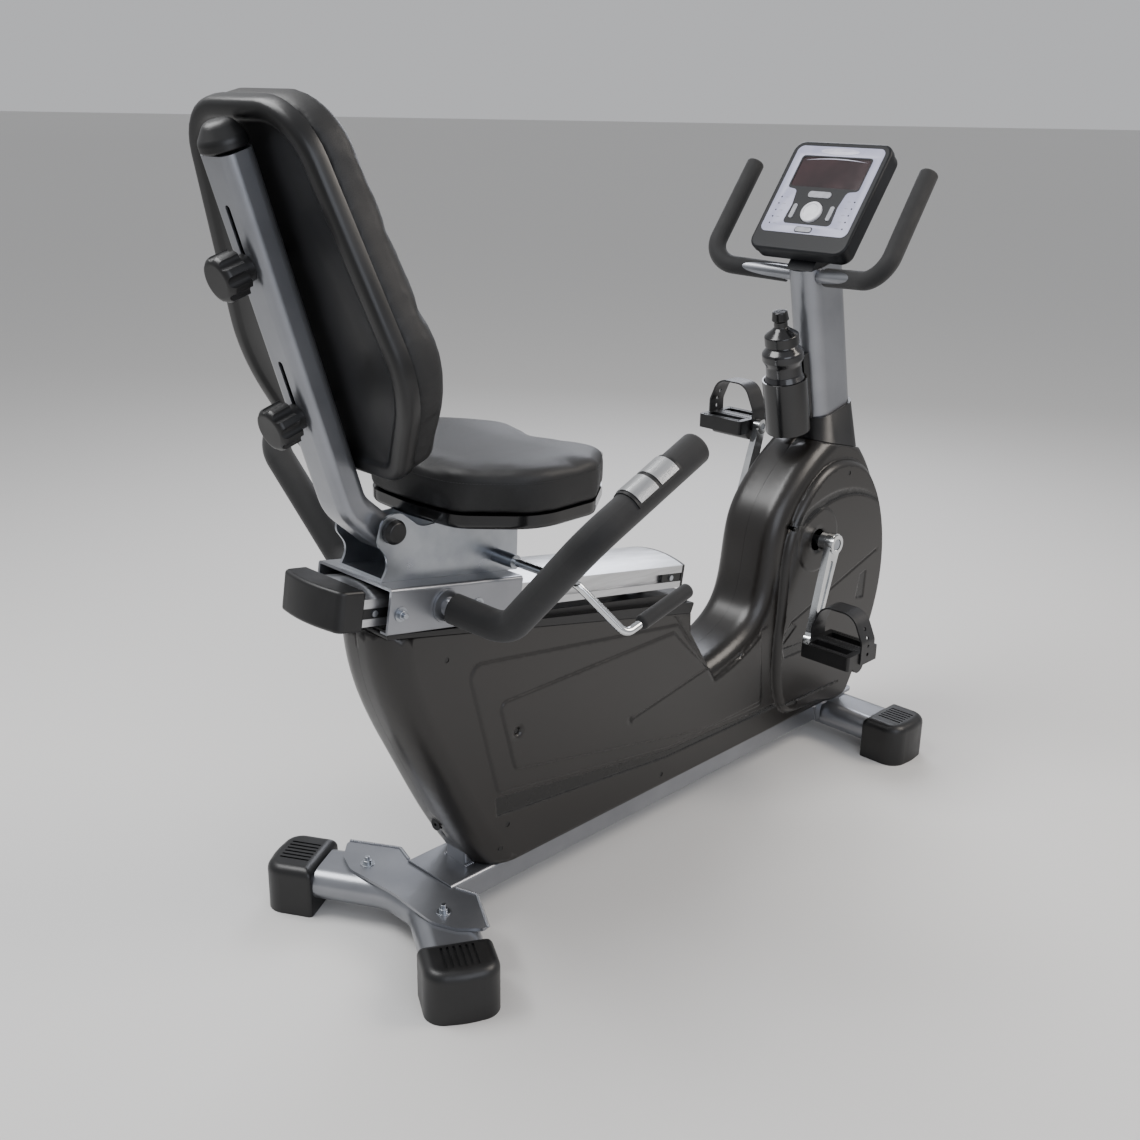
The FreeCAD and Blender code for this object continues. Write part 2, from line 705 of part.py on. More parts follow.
def power_inlet():
    body = turned("power_inlet", [(2.75, 0, 0), (9.5, 0, 0.5), (9.5, 2, 0.5), (7, 2, 0),
                                  (7, 20, 0.5), (0, 20, 0), (0, 12, 0), (2.75, 12, 0)])
    finish(body, "power_inlet", pose(-846.5, 0, 158, (0, 1, 0), 90))


# ---------------------------------------------------------------- mast and handlebar

def loft(sections):
    wires = []
    for edges, place in sections:
        wire = Part.Wire([edge.toShape() for edge in edges])
        wire.Placement = place
        wires.append(wire)
    return Part.makeLoft(wires, True)


MAST_START = 40.2    # the full section begins at the collar's top, on a narrower spigot


def mast():
    body = new_body("mast_tube")
    length = size("mast_length")
    width = size("mast_width")
    wall = size("mast_wall")
    outer = oval(length, width, width / 2 - 1)
    inner = oval(length - 2 * wall, width - 2 * wall, width / 2 - 1 - wall)
    pad(body, sketch(body, "XY_Plane", [outer], MAST_START), 4)
    pad(body, sketch(body, "XY_Plane", [outer, inner], MAST_START), size("mast_height") - MAST_START)
    spigot = [oval(84, 50, 24, -12), oval(78, 44, 21, -12)]
    pad(body, sketch(body, "XY_Plane", spigot, -28), MAST_START + 28)
    drilled = doc.addObject("Part::Cut", "mast_drilled")
    drilled.Base = body
    drilled.Tool = bar_clearance("mast_bar_hole", mast_frame().inverse())
    finish(drilled, "mast", mast_frame())


def mast_collar():
    """The flared black collar between the covers and the mast."""
    base = Placement(Vector(86.4, 0, 594.8), Rotation(Vector(0, 1, 0), 14.1))
    low = oval(134, 120, 40)
    high = oval(size("mast_length") + 9, size("mast_width") + 9, 34)
    outer = loft([(low, base), (high, mast_frame(40))])
    low_inner = oval(128, 114, 37)
    high_inner = oval(size("mast_length") + 0.6, size("mast_width") + 0.6, 31)
    inner = loft([(low_inner, base * pose(0, 0, -0.5)), (high_inner, mast_frame(40.5))])
    feature("mast_collar", outer.cut(inner))


BAR_HALF = [(20, 0, 899), (14, 42, 900), (-38, 181, 911), (81, 178, 1074)]


def bar_path(start):
    """One half of the handlebar, from the mid-plane outwards."""
    points = BAR_HALF[1:]
    if start == 0:
        points = BAR_HALF[:1] + points[1:]
    return bent_path(points, 42)


def bar_clearance(name, place):
    """The room that the handlebar needs where it passes through another piece."""
    half = rod(bar_path(0), size("bar_radius") + 0.25)
    obj = doc.addObject("Part::Feature", name)
    obj.Shape = half.fuse(flip(half))
    obj.Placement = place
    return obj


def front_handlebar():
    half = rod(bar_path(0), size("bar_radius"))
    feature("front_handlebar", half.fuse(flip(half)))


def front_grips():
    path = bar_path(1)
    grip = rod(path, size("bar_foam_radius")).cut(rod(bar_path(0), size("bar_radius") + 0.1))
    tip = Vector(*BAR_HALF[-1])
    heading = (tip - Vector(*BAR_HALF[2])).normalize()
    cap = Part.makeCylinder(size("bar_foam_radius"), 6, tip, heading)
    rim = [edge for edge in cap.Edges if (edge.CenterOfMass - tip).dot(heading) > 5.9]
    cap = cap.makeFillet(5, [edge for edge in rim if edge.Length > 20])
    grip = grip.fuse(cap)
    feature("front_grips", Part.makeCompound([grip, flip(grip)]))


def console_frame(y=0, up=0, out=0):
    """A place on the console's face: its own Z points out of the face and its own Y up it."""
    centre = Placement(Vector(32.5, 0, 1032.5), Rotation(Vector(0, 1, 0), size("console_tilt") - 90))
    face = centre * Placement(Vector(), Rotation(Vector(0, 0, 1), -90))
    return face * pose(y, up, out)


def console_outline(margin, radius):
    return oval(size("console_width") - 2 * margin, size("console_height") - 2 * margin, radius)


def console():
    """Local X runs to the rider's right along the face, local Y up it and local Z out of it."""
    front = size("console_front_thick")
    back = new_body("console_tray")
    profile = sketch(back, "XY_Plane", [console_outline(2, 20)], -front)
    pad(back, profile, "Sizes.console_back_thick", backwards=True)
    round_edges(back, 9, lambda edge: edge.BoundBox.ZMax < -front - 20)
    cavity = sketch(back, "XY_Plane", [console_outline(6, 16)], -front)
    pocket(back, cavity, "Sizes.console_back_thick - 4")
    depth = front + size("console_back_thick")
    low = console_frame(0, -96, -depth + 2).Base
    high = console_frame(0, 10, -depth + 2).Base
    rear = mast_frame(size("mast_height") + 0.2, -50).Base
    fore = mast_frame(size("mast_height") + 0.2, 50).Base
    neck = doc.addObject("Part::Feature", "console_neck")
    neck.Shape = upright_slab(outline([(rear.x, rear.z, 0), (fore.x, fore.z, 4), (high.x, high.z, 0),
                                       (low.x, low.z, 0)]), 27)
    back.Placement = console_frame()
    whole = doc.addObject("Part::MultiFuse", "console_shell")
    whole.Shapes = [back, neck]
    clear = doc.addObject("Part::Cut", "console_shell_clear")
    clear.Base = whole
    clear.Tool = bar_clearance("console_bar_room", pose())
    finish(clear, "console_back")

    bezel = new_body("console_front")
    pad(bezel, sketch(bezel, "XY_Plane", [console_outline(0, 22)], -front), "Sizes.console_front_thick")
    round_edges(bezel, 5, lambda edge: edge.BoundBox.ZMin > -0.1)
    windows = [rectangle(-70, 17, 70, 77, 6)]
    windows.append(circle(0, -33, size("dial_radius") + 1))
    windows.append(oval(47, 13, 6, 0, 2))
    windows.append(oval(9, 29, 4, 38, -33))
    windows.append(oval(9, 29, 4, -38, -33))
    windows.append(oval(33, 10, 4.5, 0, -68))
    pocket(bezel, sketch(bezel, "XY_Plane", windows), 8)
    finish(bezel, "console_front", console_frame())

    screen = new_body("console_screen")
    pad(screen, sketch(screen, "XY_Plane", [rectangle(-69.7, 17.3, 69.7, 76.7, 5.7)], -8), 7.2)
    finish(screen, "console_screen", console_frame())

    radius = size("dial_radius")
    dial = turned("console_dial", [(0, 0, 0), (radius, 0, 0), (radius, 12, 2.5), (radius - 5, 13, 1),
                                   (radius - 6, 11.5, 1), (0, 11.5, 0)])
    finish(dial, "console_dial", console_frame(0, -33, -7.9))

    buttons = {"start_button": (46, 12, 5.5, 0, 2), "select_button_left": (8, 28, 3.5, -38, -33),
               "select_button_right": (8, 28, 3.5, 38, -33), "recovery_button": (32, 9, 4, 0, -68)}
    for name, (width, depth, radius, u, v) in buttons.items():
        button = new_body(name)
        pad(button, sketch(button, "XY_Plane", [oval(width, depth, radius)]), 8)
        finish(button, name, console_frame(u, v, -8 + size("button_travel") + 0.4))


def bottle():
    radius = size("bottle_radius")
    place = mast_frame(size("bottle_low"), -size("bottle_back"))
    body = turned("bottle_body", [(0, 0, 0), (radius - 3, 0, 3), (radius - 1, 95, 3),
                                  (radius - 5, 104, 8), (radius - 5, 122, 8), (radius, 132, 5),
                                  (radius, 145, 8), (26, 156, 4), (26, 158, 0), (0, 158, 0)])
    finish(body, "bottle_body", place)
    lid = turned("bottle_lid", [(0, 158.1, 0), (30, 158.1, 1), (30, 176, 4), (16, 186, 6),
                                (12, 190, 2), (12, 200, 2), (15, 203, 1), (13, 218, 2), (0, 218, 0)])
    finish(lid, "bottle_lid", place)
    holder = new_body("bottle_holder")
    cup = [circle(0, 0, radius + 3), circle(0, 0, radius + 0.4)]
    pad(holder, sketch(holder, "XY_Plane", cup, -0.3), 95)
    pad(holder, sketch(holder, "XY_Plane", [circle(0, 0, radius + 3)], -3.3), 3)
    reach = size("bottle_back") - size("mast_length") / 2 - 0.1
    web = rectangle(radius + 1.5, -15, reach, 15)
    pad(holder, sketch(holder, "XY_Plane", [web], 1), 124.7)
    finish(holder, "bottle_holder", place)


# ---------------------------------------------------------------- cranks and pedals

def arm_place(side):
    """Local X runs down the arm, local Z points outwards along the axle."""
    outward = Rotation(Vector(1, 0, 0), 90) if side < 0 else Rotation(Vector(1, 0, 0), -90)
    point = Vector(-math.sin(arm_turn()) * -side, 0, -math.cos(arm_turn()) * -side)
    local = outward.inverted().multVec(point)
    spin = math.degrees(math.atan2(local.y, local.x))
    turn = outward * Rotation(Vector(0, 0, 1), spin)
    return Placement(Vector(0, side * 101, size("crank_height")), turn)


def arm_turn():
    return math.radians(size("crank_turn"))


def pedal_centre(side):
    """The middle of the pedal's axle hole in the arm."""
    length = size("crank_length")
    x = side * length * math.sin(arm_turn())
    z = size("crank_height") + side * length * math.cos(arm_turn())
    return x, z


def crank_arm(label, side):
    length = size("crank_length")
    splay = 4.2
    side_view = outline([(-19, 17, 16), (-19, -17, 16), (length - 12, -11, 10), (length + 14, -14, 12),
                         (length + 14, 14, 12), (length - 12, 11, 10)])
    blade = plane_face(side_view).extrude(Vector(0, 0, 13))
    groove = plane_face(oval(length - 58, 10, 5, length / 2 + 2)).extrude(Vector(0, 0, 4))
    groove.translate(Vector(0, 0, 11))
    blade = blade.cut(groove)
    blade.Placement = pose(0, 0, 0, (0, 1, 0), -splay)
    hub = Part.makeCylinder(18, 30, Vector(0, 0, -14))
    eye = Part.makeCylinder(14, 14, Vector(length, 0, 12))
    arm = blade.fuse([hub, eye]).cut(Part.makeCylinder(size("axle_radius") + 0.02, 12, Vector(0, 0, -15)))
    arm = arm.cut(Part.makeCylinder(11, 5, Vector(0, 0, 12)))
    arm = arm.cut(Part.makeCylinder(7.03, 40, Vector(length, 0, 0)))
    feature(label, arm.removeSplitter(), arm_place(side))


def pedal_spindles():
    spindles = []
    for side, word in ((-1, "right"), (1, "left")):
        x, z = pedal_centre(side)
        length = 113
        start = 114 if side > 0 else -114 - length
        spindles.append(cylinder("spindle_" + word, 7, length, along_y(x, start, z)))
    group("pedal_spindles", spindles)


def pedal(label, side):
    """A weighted pedal: two treads joined by a bearing tube, open between them."""
    length = size("pedal_length")
    width = size("pedal_width")
    thick = size("pedal_thick")
    inner = 132
    middle = side * (inner + width / 2)
    x, z = pedal_centre(side)
    block = Part.makeBox(length, width, thick, Vector(-length / 2, -width / 2, -thick / 2))
    block = block.makeFillet(5, [edge for edge in block.Edges if edge.Length < thick + 1])
    slot = Part.makeBox(20, width - 24, 60, Vector(14, -width / 2 + 12, -30))
    other = Part.makeBox(20, width - 24, 60, Vector(-34, -width / 2 + 12, -30))
    weight = Part.makeCylinder(16, width - 16, Vector(0, -width / 2 + 8, -14), Vector(0, 1, 0))
    shape = block.cut([slot, other]).fuse(weight)
    bore = Part.makeCylinder(7.05, width + 8, Vector(0, -width / 2 - 4, 0), Vector(0, 1, 0))
    bore = bore.common(Part.makeBox(40, width + 8, 40, Vector(-20, -width / 2 - 4 - side * 8, -20)))
    feature(label, shape.cut(bore).removeSplitter(), pose(x, middle, z))
    pedal_strap(label.replace("pedal", "pedal_strap"), side, x, middle, z)


def pedal_strap(label, side, x, middle, z):
    """A rubber strap that arches over the foot from one side of the pedal to the other."""
    width = size("pedal_width")
    thick = 3
    high = size("strap_height")
    half = width / 2 + thick + 0.2
    side_in = outline([(-half, -8, 0), (-half + thick, -8, 0), (-half + thick, 30, 20),
                       (-half + 24, high - thick, 30), (half - 20, high - thick, 26),
                       (half - thick, 34, 20), (half - thick, -8, 0), (half, -8, 0),
                       (half, 36, 22), (half - 18, high, 30), (-half + 22, high, 34), (-half, 31, 22)])
    face = plane_face(side_in)
    face.Placement = Placement(Vector(), Rotation(Vector(1, 1, 1), 120))
    strap = face.extrude(Vector(size("strap_width"), 0, 0))
    strap.translate(Vector(-size("strap_width") / 2, 0, 0))
    for k in range(4):
        height = 6 + 15 * k
        hole = Part.makeCylinder(3.5, 30, Vector(0, side * (half - 22), height), Vector(0, side, 0))
        strap = strap.cut(hole)
    spindle_hole = Part.makeCylinder(7.5, 12, Vector(-8, -side * (half + 2), 0), Vector(0, side, 0))
    feature(label, strap.cut(spindle_hole), pose(x + 8, middle, z))


# ---------------------------------------------------------------- seat rail and carriage

def seat_rail():
    body = new_body("seat_rail")
    half = size("seat_rail_width") / 2
    deep = size("seat_rail_depth") / 2
    crown = size("rail_crown")
    shell = [Part.Arc(Vector(-half, deep, 0), Vector(0, deep + crown, 0), Vector(half, deep, 0))]
    walls = [(half, deep), (half, 6), (half - 7, 6), (half - 7, -8), (half, -8), (half, -deep)]
    walls += [(-y, z) for y, z in reversed(walls)]
    points = [Vector(y, z, 0) for y, z in walls]
    shell += [Part.LineSegment(a, b) for a, b in zip(points, points[1:])]
    hollow = rectangle(-half + 11, -deep + 4, half - 11, deep - 2, 3)
    pad(body, sketch(body, "YZ_Plane", [shell, hollow]), "Sizes.seat_rail_length", "Symmetric")
    finish(body, "seat_rail", rail_frame())


def rail_end_caps():
    half = size("seat_rail_width") / 2
    end = size("seat_rail_length") / 2
    rear = new_body("rail_cap_rear")
    plan = outline([(-end, -half - 4, 3), (-end, half + 4, 3), (-end - 38, half + 2, 12),
                    (-end - 52, 0, 200), (-end - 38, -half - 2, 12)])
    pad(rear, sketch(rear, "XY_Plane", [plan], -24), 56)
    round_edges(rear, 5, lambda edge: edge.BoundBox.ZLength < 0.1 and edge.BoundBox.XMin < -end - 1)
    front = new_body("rail_cap_front")
    deep = size("seat_rail_depth") / 2
    section = [Part.Arc(Vector(-half, deep, 0), Vector(0, deep + 10, 0), Vector(half, deep, 0))]
    section.append(Part.LineSegment(Vector(half, deep, 0), Vector(half, -deep, 0)))
    section.append(Part.LineSegment(Vector(half, -deep, 0), Vector(-half, -deep, 0)))
    section.append(Part.LineSegment(Vector(-half, -deep, 0), Vector(-half, deep, 0)))
    pad(front, sketch(front, "YZ_Plane", [section], end), 6)
    inserts = []
    for along in (-end + 1, end - 47):
        for side in (-1, 1):
            name = "rail_insert_%d" % (len(inserts) + 1)
            low = half - 6.8 if side > 0 else -half + 0.8
            inserts.append(box(name, 46, 6, 13, pose(along, low, -7.5)))
    group("rail_end_caps", [rear, front] + inserts, rail_frame())
    for along in (-end + 20, end - 26):
        for side in (-1, 1):
            name = "insert_screw_%d" % (len(frame_bolts) + 1)
            low = half - 0.75 if side > 0 else -half - 1.75
            frame_bolts.append(cylinder(name, 4.5, 2.5, rail_frame() * along_y(along, low, -1)))
    group("frame_bolts", frame_bolts)


CARRIAGE_REAR = -295


def seat_carriage():
    """The folded sheet channel that runs on the seat rail."""
    body = new_body("seat_carriage")
    half = size("carriage_half")
    sheet_thick = size("carriage_sheet")
    top = 35
    walls = [(half, top, 5), (half, -28, 2), (half - 15, -28, 0), (half - 15, -25, 0),
             (half - sheet_thick, -25, 0), (half - sheet_thick, top - sheet_thick, 2)]
    section = walls + [(-y, z, radius) for y, z, radius in reversed(walls)]
    profile = sketch(body, "YZ_Plane", [outline(section)], CARRIAGE_REAR)
    pad(body, profile, "Sizes.carriage_length")
    hole = sketch(body, "XZ_Plane", [circle(-276, 0, 4.2), circle(-140, 0, 4.2)])
    pocket(body, hole, 200, "Symmetric")
    finish(body, "seat_carriage", rail_frame())
    glides = []
    for along in (-282, -110):
        for side in (-1, 1):
            low = 62.35 if side > 0 else -75.9
            name = "glide_%d" % (len(glides) + 1)
            glides.append(box(name, 44, 13.55, 24, pose(along, low, -12)))
    for along in (-276, -140):
        for side in (-1, 1):
            name = "carriage_bolt_%d" % (len(seat_bolts) + 1)
            head = turned(name, [(0, 76.1, 0), (4, 76.1, 0), (4, 80.1, 0), (10, 80.1, 0),
                                 (10, 81.6, 0), (6.5, 81.6, 0), (6.5, 87, 1), (4, 87, 0),
                                 (4, 92, 1), (0, 92, 0)])
            head.Placement = rail_frame() * pose(along, 0, 0, (1, 0, 0), -90 * side)
            seat_bolts.append(head)
    group("carriage_glides", glides, rail_frame())


PIVOT = (-947, 654)
LEVER_AXIS = (-764, 578)


def seat_bracket():
    """The folded bracket that carries the seat pan and the backrest post."""
    rear_low = rail_point(-286, 35.05)
    front_low = rail_point(-40, 35.05)
    side_view = outline([(rear_low[0], rear_low[1], 0), (-952, 612, 24), (-972, 640, 14),
                         (-962, 676, 20), (-932, 676, 20), (-900, 649.5, 30), (-722, 649.5, 6),
                         (front_low[0], front_low[1], 0)])
    thick = size("bracket_sheet")
    outer = upright_slab(side_view, size("bracket_half"))
    rear_floor = rail_point(-400, 35 + thick)
    front_floor = rail_point(100, 35 + thick)
    hollow = outline([(rear_floor[0], rear_floor[1], 0), (front_floor[0], front_floor[1], 0),
                      (-500, 800, 0), (-1100, 800, 0)])
    shape = outer.cut(upright_slab(hollow, size("bracket_half") - thick))
    sleeve = Part.makeCylinder(10, 40, Vector(LEVER_AXIS[0], -47, LEVER_AXIS[1]), Vector(0, -1, 0))
    shape = shape.fuse(sleeve)
    shape = shape.cut(Part.makeCylinder(6.06, 200, Vector(LEVER_AXIS[0], -120, LEVER_AXIS[1]),
                                        Vector(0, 1, 0)))
    shape = shape.cut(Part.makeCylinder(6.1, 200, Vector(PIVOT[0], -100, PIVOT[1]), Vector(0, 1, 0)))
    feature("seat_bracket", shape.removeSplitter())


def lock_lever():
    x, z = LEVER_AXIS
    path = bent_path([(x, 60, z), (x, -205, z), (x + 52, -250, z - 74), (x + 176, -250, z - 44)], 16)
    shape = rod(path, size("lever_radius"))
    cam = Part.makeCylinder(10, 24, Vector(x + 2, -12, z + 2), Vector(0, 1, 0))
    feature("lock_lever", shape.fuse(cam).removeSplitter())
    start = Vector(x + 80, -250, z - 67.2)
    heading = Vector(124, 0, 30).normalize()
    grip = Part.makeCylinder(size("lever_grip_radius"), 106, start, heading)
    ends = [edge for edge in grip.Edges if edge.Length > 40 and edge.Closed]
    grip = grip.makeFillet(6, ends)
    core = Part.makeCylinder(size("lever_radius") + 0.1, 101, start - heading, heading)
    feature("lock_lever_grip", grip.cut(core))


SEAT_PLAN = [(-888, 0, 260), (-880, -92, 60), (-800, -172, 90), (-690, -172, 30), (-606, -110, 40),
             (-618, -40, 60), (-632, 0, 60)]


def seat_outline(margin):
    right = [(x + (margin if x < -740 else -margin), y + (margin if y < 0 else 0), radius)
             for x, y, radius in SEAT_PLAN]
    left = [(x, -y, radius) for x, y, radius in reversed(right[1:-1])]
    return outline(right + left)


def seat():
    pan = new_body("seat_pan")
    pad(pan, sketch(pan, "XY_Plane", [seat_outline(3)], 650), "Sizes.pan_thick")
    round_edges(pan, 7, lambda edge: edge.BoundBox.ZMax < 651)
    finish(pan, "seat_pan")
    cushion = new_body("seat_cushion")
    pad(cushion, sketch(cushion, "XY_Plane", [seat_outline(0)], 670.3), "Sizes.seat_cushion_thick")
    round_edges(cushion, 14, lambda edge: edge.BoundBox.ZMin > 700)
    finish(cushion, "seat_cushion")


# ---------------------------------------------------------------- backrest

def back_frame(up=0, back=0, across=0):
    """A place on the backrest post's front face: own Z up the post, own X to the front."""
    turn = Placement(Vector(-1018, 0, 855), Rotation(Vector(0, 1, 0), -size("back_lean")))
    return turn * pose(-back, across, up)


KNOB_HEIGHTS = {"knob_upper": 166, "knob_lower": -28}


def backrest_post():
    depth = size("back_post_depth")
    width = size("back_post_width")
    wall = size("back_post_wall")
    top = back_frame(296, depth / 2).Base
    bend = back_frame(-168, depth / 2).Base
    foot = Vector(PIVOT[0] + 12, 0, PIVOT[1] - 14)
    path = bent_path([tuple(top), tuple(bend), tuple(foot)], 55)
    start = back_frame(296, depth / 2)
    outer = profile_along(path, oval(depth, width, 14), start)
    inner = profile_along(path, oval(depth - 2 * wall, width - 2 * wall, 14 - wall), start)
    shape = outer.cut(inner)
    for height in KNOB_HEIGHTS.values():
        low = height - 14
        slot = plane_face(oval(size("slot_length"), size("slot_width"), 4.4)).extrude(Vector(0, 0, 120))
        slot.Placement = back_frame(low + size("slot_length") / 2 - 4, 80) * pose(0, 0, 0, (0, 1, 0), 90)
        shape = shape.cut(slot)
    shape = shape.cut(Part.makeCylinder(6.1, 200, Vector(PIVOT[0], -100, PIVOT[1]), Vector(0, 1, 0)))
    feature("backrest_post", shape)


def tube_plugs():
    """The dome on the post, and the pivot bolt with its two plugs."""
    dome = turned("post_cap", [(0, 0, 0), (21, 0, 0), (29, 3, 3), (29, 14, 12), (16, 33, 14), (0, 35, 0)])
    half_depth = size("back_post_depth") / 2
    front = box("post_cap_front", 20, 80, 50, pose(half_depth - 0.3, -40, -5))
    flat_dome = doc.addObject("Part::Cut", "post_cap_flat")
    flat_dome.Base = dome
    flat_dome.Tool = front
    flat_dome.Placement = back_frame(296.2, half_depth)
    pivot_bolt = cylinder("pivot_bolt", 6, 98, along_y(PIVOT[0], -49, PIVOT[1]))
    group("seat_bolts", seat_bolts + [pivot_bolt])
    plugs = []
    for side in (-1, 1):
        plug = turned("pivot_plug_%s" % ("left" if side > 0 else "right"),
                      [(6.1, 47.2, 0), (17, 47.2, 1), (17, 54, 3), (13, 60, 3), (0, 60, 0),
                       (0, 49.2, 0), (6.1, 49.2, 0)])
        plug.Placement = pose(PIVOT[0], 0, PIVOT[1], (1, 0, 0), -90 * side)
        plugs.append(plug)
    group("tube_plugs", [flat_dome] + plugs)


def back_outline(margin):
    half = [(-104 + margin, -128 + margin, 46), (-182 + margin, 6, 150), (-112 + margin, 346 - margin, 84)]
    return outline(half + [(-y, z, radius) for y, z, radius in reversed(half)])


def backrest():
    shell = new_body("backrest_shell")
    pad(shell, sketch(shell, "YZ_Plane", [back_outline(0)], 0.4), "Sizes.shell_thick")
    round_edges(shell, 10, lambda edge: edge.BoundBox.XMax < 1)
    holes = [circle(0, height, 4.06) for height in KNOB_HEIGHTS.values()]
    pocket(shell, sketch(shell, "YZ_Plane", holes), 15, backwards=True)
    finish(shell, "backrest_shell", back_frame())
    cushion = new_body("backrest_cushion")
    start = size("shell_thick") + 0.7
    pad(cushion, sketch(cushion, "YZ_Plane", [back_outline(0)], start), "Sizes.back_cushion_thick")
    round_edges(cushion, 20, lambda edge: edge.BoundBox.XMin > start + 40)
    finish(cushion, "backrest_cushion", back_frame())


def fluted_knob(label, height):
    """A fluted hand knob with its screw, pointing backwards out of the post."""
    body = new_body(label)
    radius = size("knob_radius")
    start = size("back_post_depth") + 0.3
    head = sketch(body, "XY_Plane", [circle(0, 0, radius)], start + 14)
    hold_radius(head, 0, "Sizes.knob_radius")
    pad(body, head, "Sizes.knob_length")
    round_edges(body, 8, lambda edge: edge.BoundBox.ZMin > start + 20)
    flutes = [circle((radius + 5) * math.cos(k * math.pi / 4), (radius + 5) * math.sin(k * math.pi / 4), 9)
              for k in range(8)]
    pocket(body, sketch(body, "XY_Plane", flutes, start + 10), 60, backwards=True)
    pad(body, sketch(body, "XY_Plane", [circle(0, 0, 17)], start), 16)
    screw = sketch(body, "XY_Plane", [circle(0, 0, size("knob_screw_radius"))], -14)
    pad(body, screw, start + 20 + 14)
    finish(body, label, back_frame(height) * pose(0, 0, 0, (0, 1, 0), -90))


# ---------------------------------------------------------------- side handles

HANDLE_RIGHT = [(-885, -80.3, 543), (-862, -176, 529), (-879, -338, 695), (-700, -343, 778)]


def side_handles():
    path = bent_path(HANDLE_RIGHT, 50)
    tube = rod(path, size("handle_tube_radius"))
    flange = Part.makeCylinder(24, 4, Vector(-885, -84.3, 543), Vector(0, 1, 0))
    tube = tube.fuse(flange)
    tube = tube.common(Part.makeBox(600, 400, 600, Vector(-1100, -480.3, 400)))
    feature("side_handle_tubes", Part.makeCompound([tube, flip(tube)]))
    along = (Vector(*HANDLE_RIGHT[1]) - Vector(*HANDLE_RIGHT[0])).normalize()
    start = Vector(*HANDLE_RIGHT[0]) + along * 12
    last = (Vector(*HANDLE_RIGHT[3]) - Vector(*HANDLE_RIGHT[2])).normalize()
    tip = Vector(*HANDLE_RIGHT[3])
    foam_path = bent_path([tuple(start), HANDLE_RIGHT[1], HANDLE_RIGHT[2], tuple(tip)], 50)
    grip = rod(foam_path, size("handle_foam_radius")).cut(rod(path, size("handle_tube_radius") + 0.1))
    cap = Part.makeCylinder(size("handle_foam_radius"), 8, tip, last)
    rim = [edge for edge in cap.Edges if edge.Closed and (edge.CenterOfMass - tip).dot(last) > 7]
    grip = grip.fuse(cap.makeFillet(6, rim))
    feature("side_grips", Part.makeCompound([grip, flip(grip)]))
    sensor_start = tip - last * 128
    frame = Placement(sensor_start, Rotation(Vector(0, 0, 1), last))
    sensors(frame)


def half_ring(inner, outer, spread, start, length):
    """Part of a tube about its own Z axis, open on the far side of +Y."""
    shape = Part.makeCylinder(outer, length, Vector(0, 0, start))
    shape = shape.cut(Part.makeCylinder(inner, length, Vector(0, 0, start)))
    angle = math.radians(90 - spread / 2)
    reach = 80
    low = -reach * math.sin(-angle)
    keep = outline([(0, 0, 0), (reach * math.cos(angle), low, 0), (reach, reach * 2, 0),
                    (-reach, reach * 2, 0), (-reach * math.cos(angle), low, 0)])
    wedge = plane_face(keep).extrude(Vector(0, 0, length))
    wedge.translate(Vector(0, 0, start))
    return shape.common(wedge)


def sensors(frame):
    """The pulse sensors: a bezel and two bright plates on each handle."""
    up = frame.Rotation.inverted().multVec(Vector(0, 0, 1))
    spin = math.degrees(math.atan2(up.y, up.x)) - 90
    frame = frame * pose(0, 0, 0, (0, 0, 1), spin)
    foam = size("handle_foam_radius")
    length = size("sensor_length")
    bezel = half_ring(foam + 0.1, foam + 2, 150, 0, length)
    bezel.Placement = frame
    feature("sensor_bezels", Part.makeCompound([bezel, flip(bezel)]))
    plates = []
    for start in (5, length / 2 + 3):
        plate = half_ring(foam + 2.05, foam + 3.2, 128, start, length / 2 - 8)
        plate.Placement = frame
        plates += [plate, flip(plate)]
    feature("pulse_plates", Part.makeCompound(plates))


# ---------------------------------------------------------------- build and export

def build():
    main_rail()
    rear_stabilizer()
    front_stabilizer()
    end_caps()
    stabilizer_bolts()
    seat_posts()
    frame_upright()
    bearings()
    crank_axle()
    drive_pulley()
    flywheel()
    drive_belt()
    magnet_carrier()
    cover_screws()
    shroud_deck()
    power_inlet()
    mast()
    mast_collar()
    front_handlebar()
    front_grips()
    console()
    bottle()
    crank_arm("crank_arm_right", -1)
    crank_arm("crank_arm_left", 1)
    pedal_spindles()
    pedal("pedal_right", -1)
    pedal("pedal_left", 1)
    seat_rail()
    rail_end_caps()
    seat_carriage()
    seat_bracket()
    lock_lever()
    seat()
    backrest_post()
    tube_plugs()
    backrest()
    for label, height in KNOB_HEIGHTS.items():
        fluted_knob(label, height)
    side_handles()
    covers()


def export():
    """Checks every object and writes one file for each sub-part."""
    doc.recompute()
    failed = [obj.Label for obj in doc.Objects if "Invalid" in obj.State or "Error" in obj.State]
    failed += [obj.Label for obj in sub_parts if obj.Shape.isNull() or not obj.Shape.isValid()]
    if failed:
        raise RuntimeError("these did not build: " + ", ".join(failed))
    os.makedirs("parts", exist_ok=True)
    for obj in sub_parts:
        obj.Shape.exportStep("parts/%s.step" % obj.Label)


build()
export()
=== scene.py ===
import math

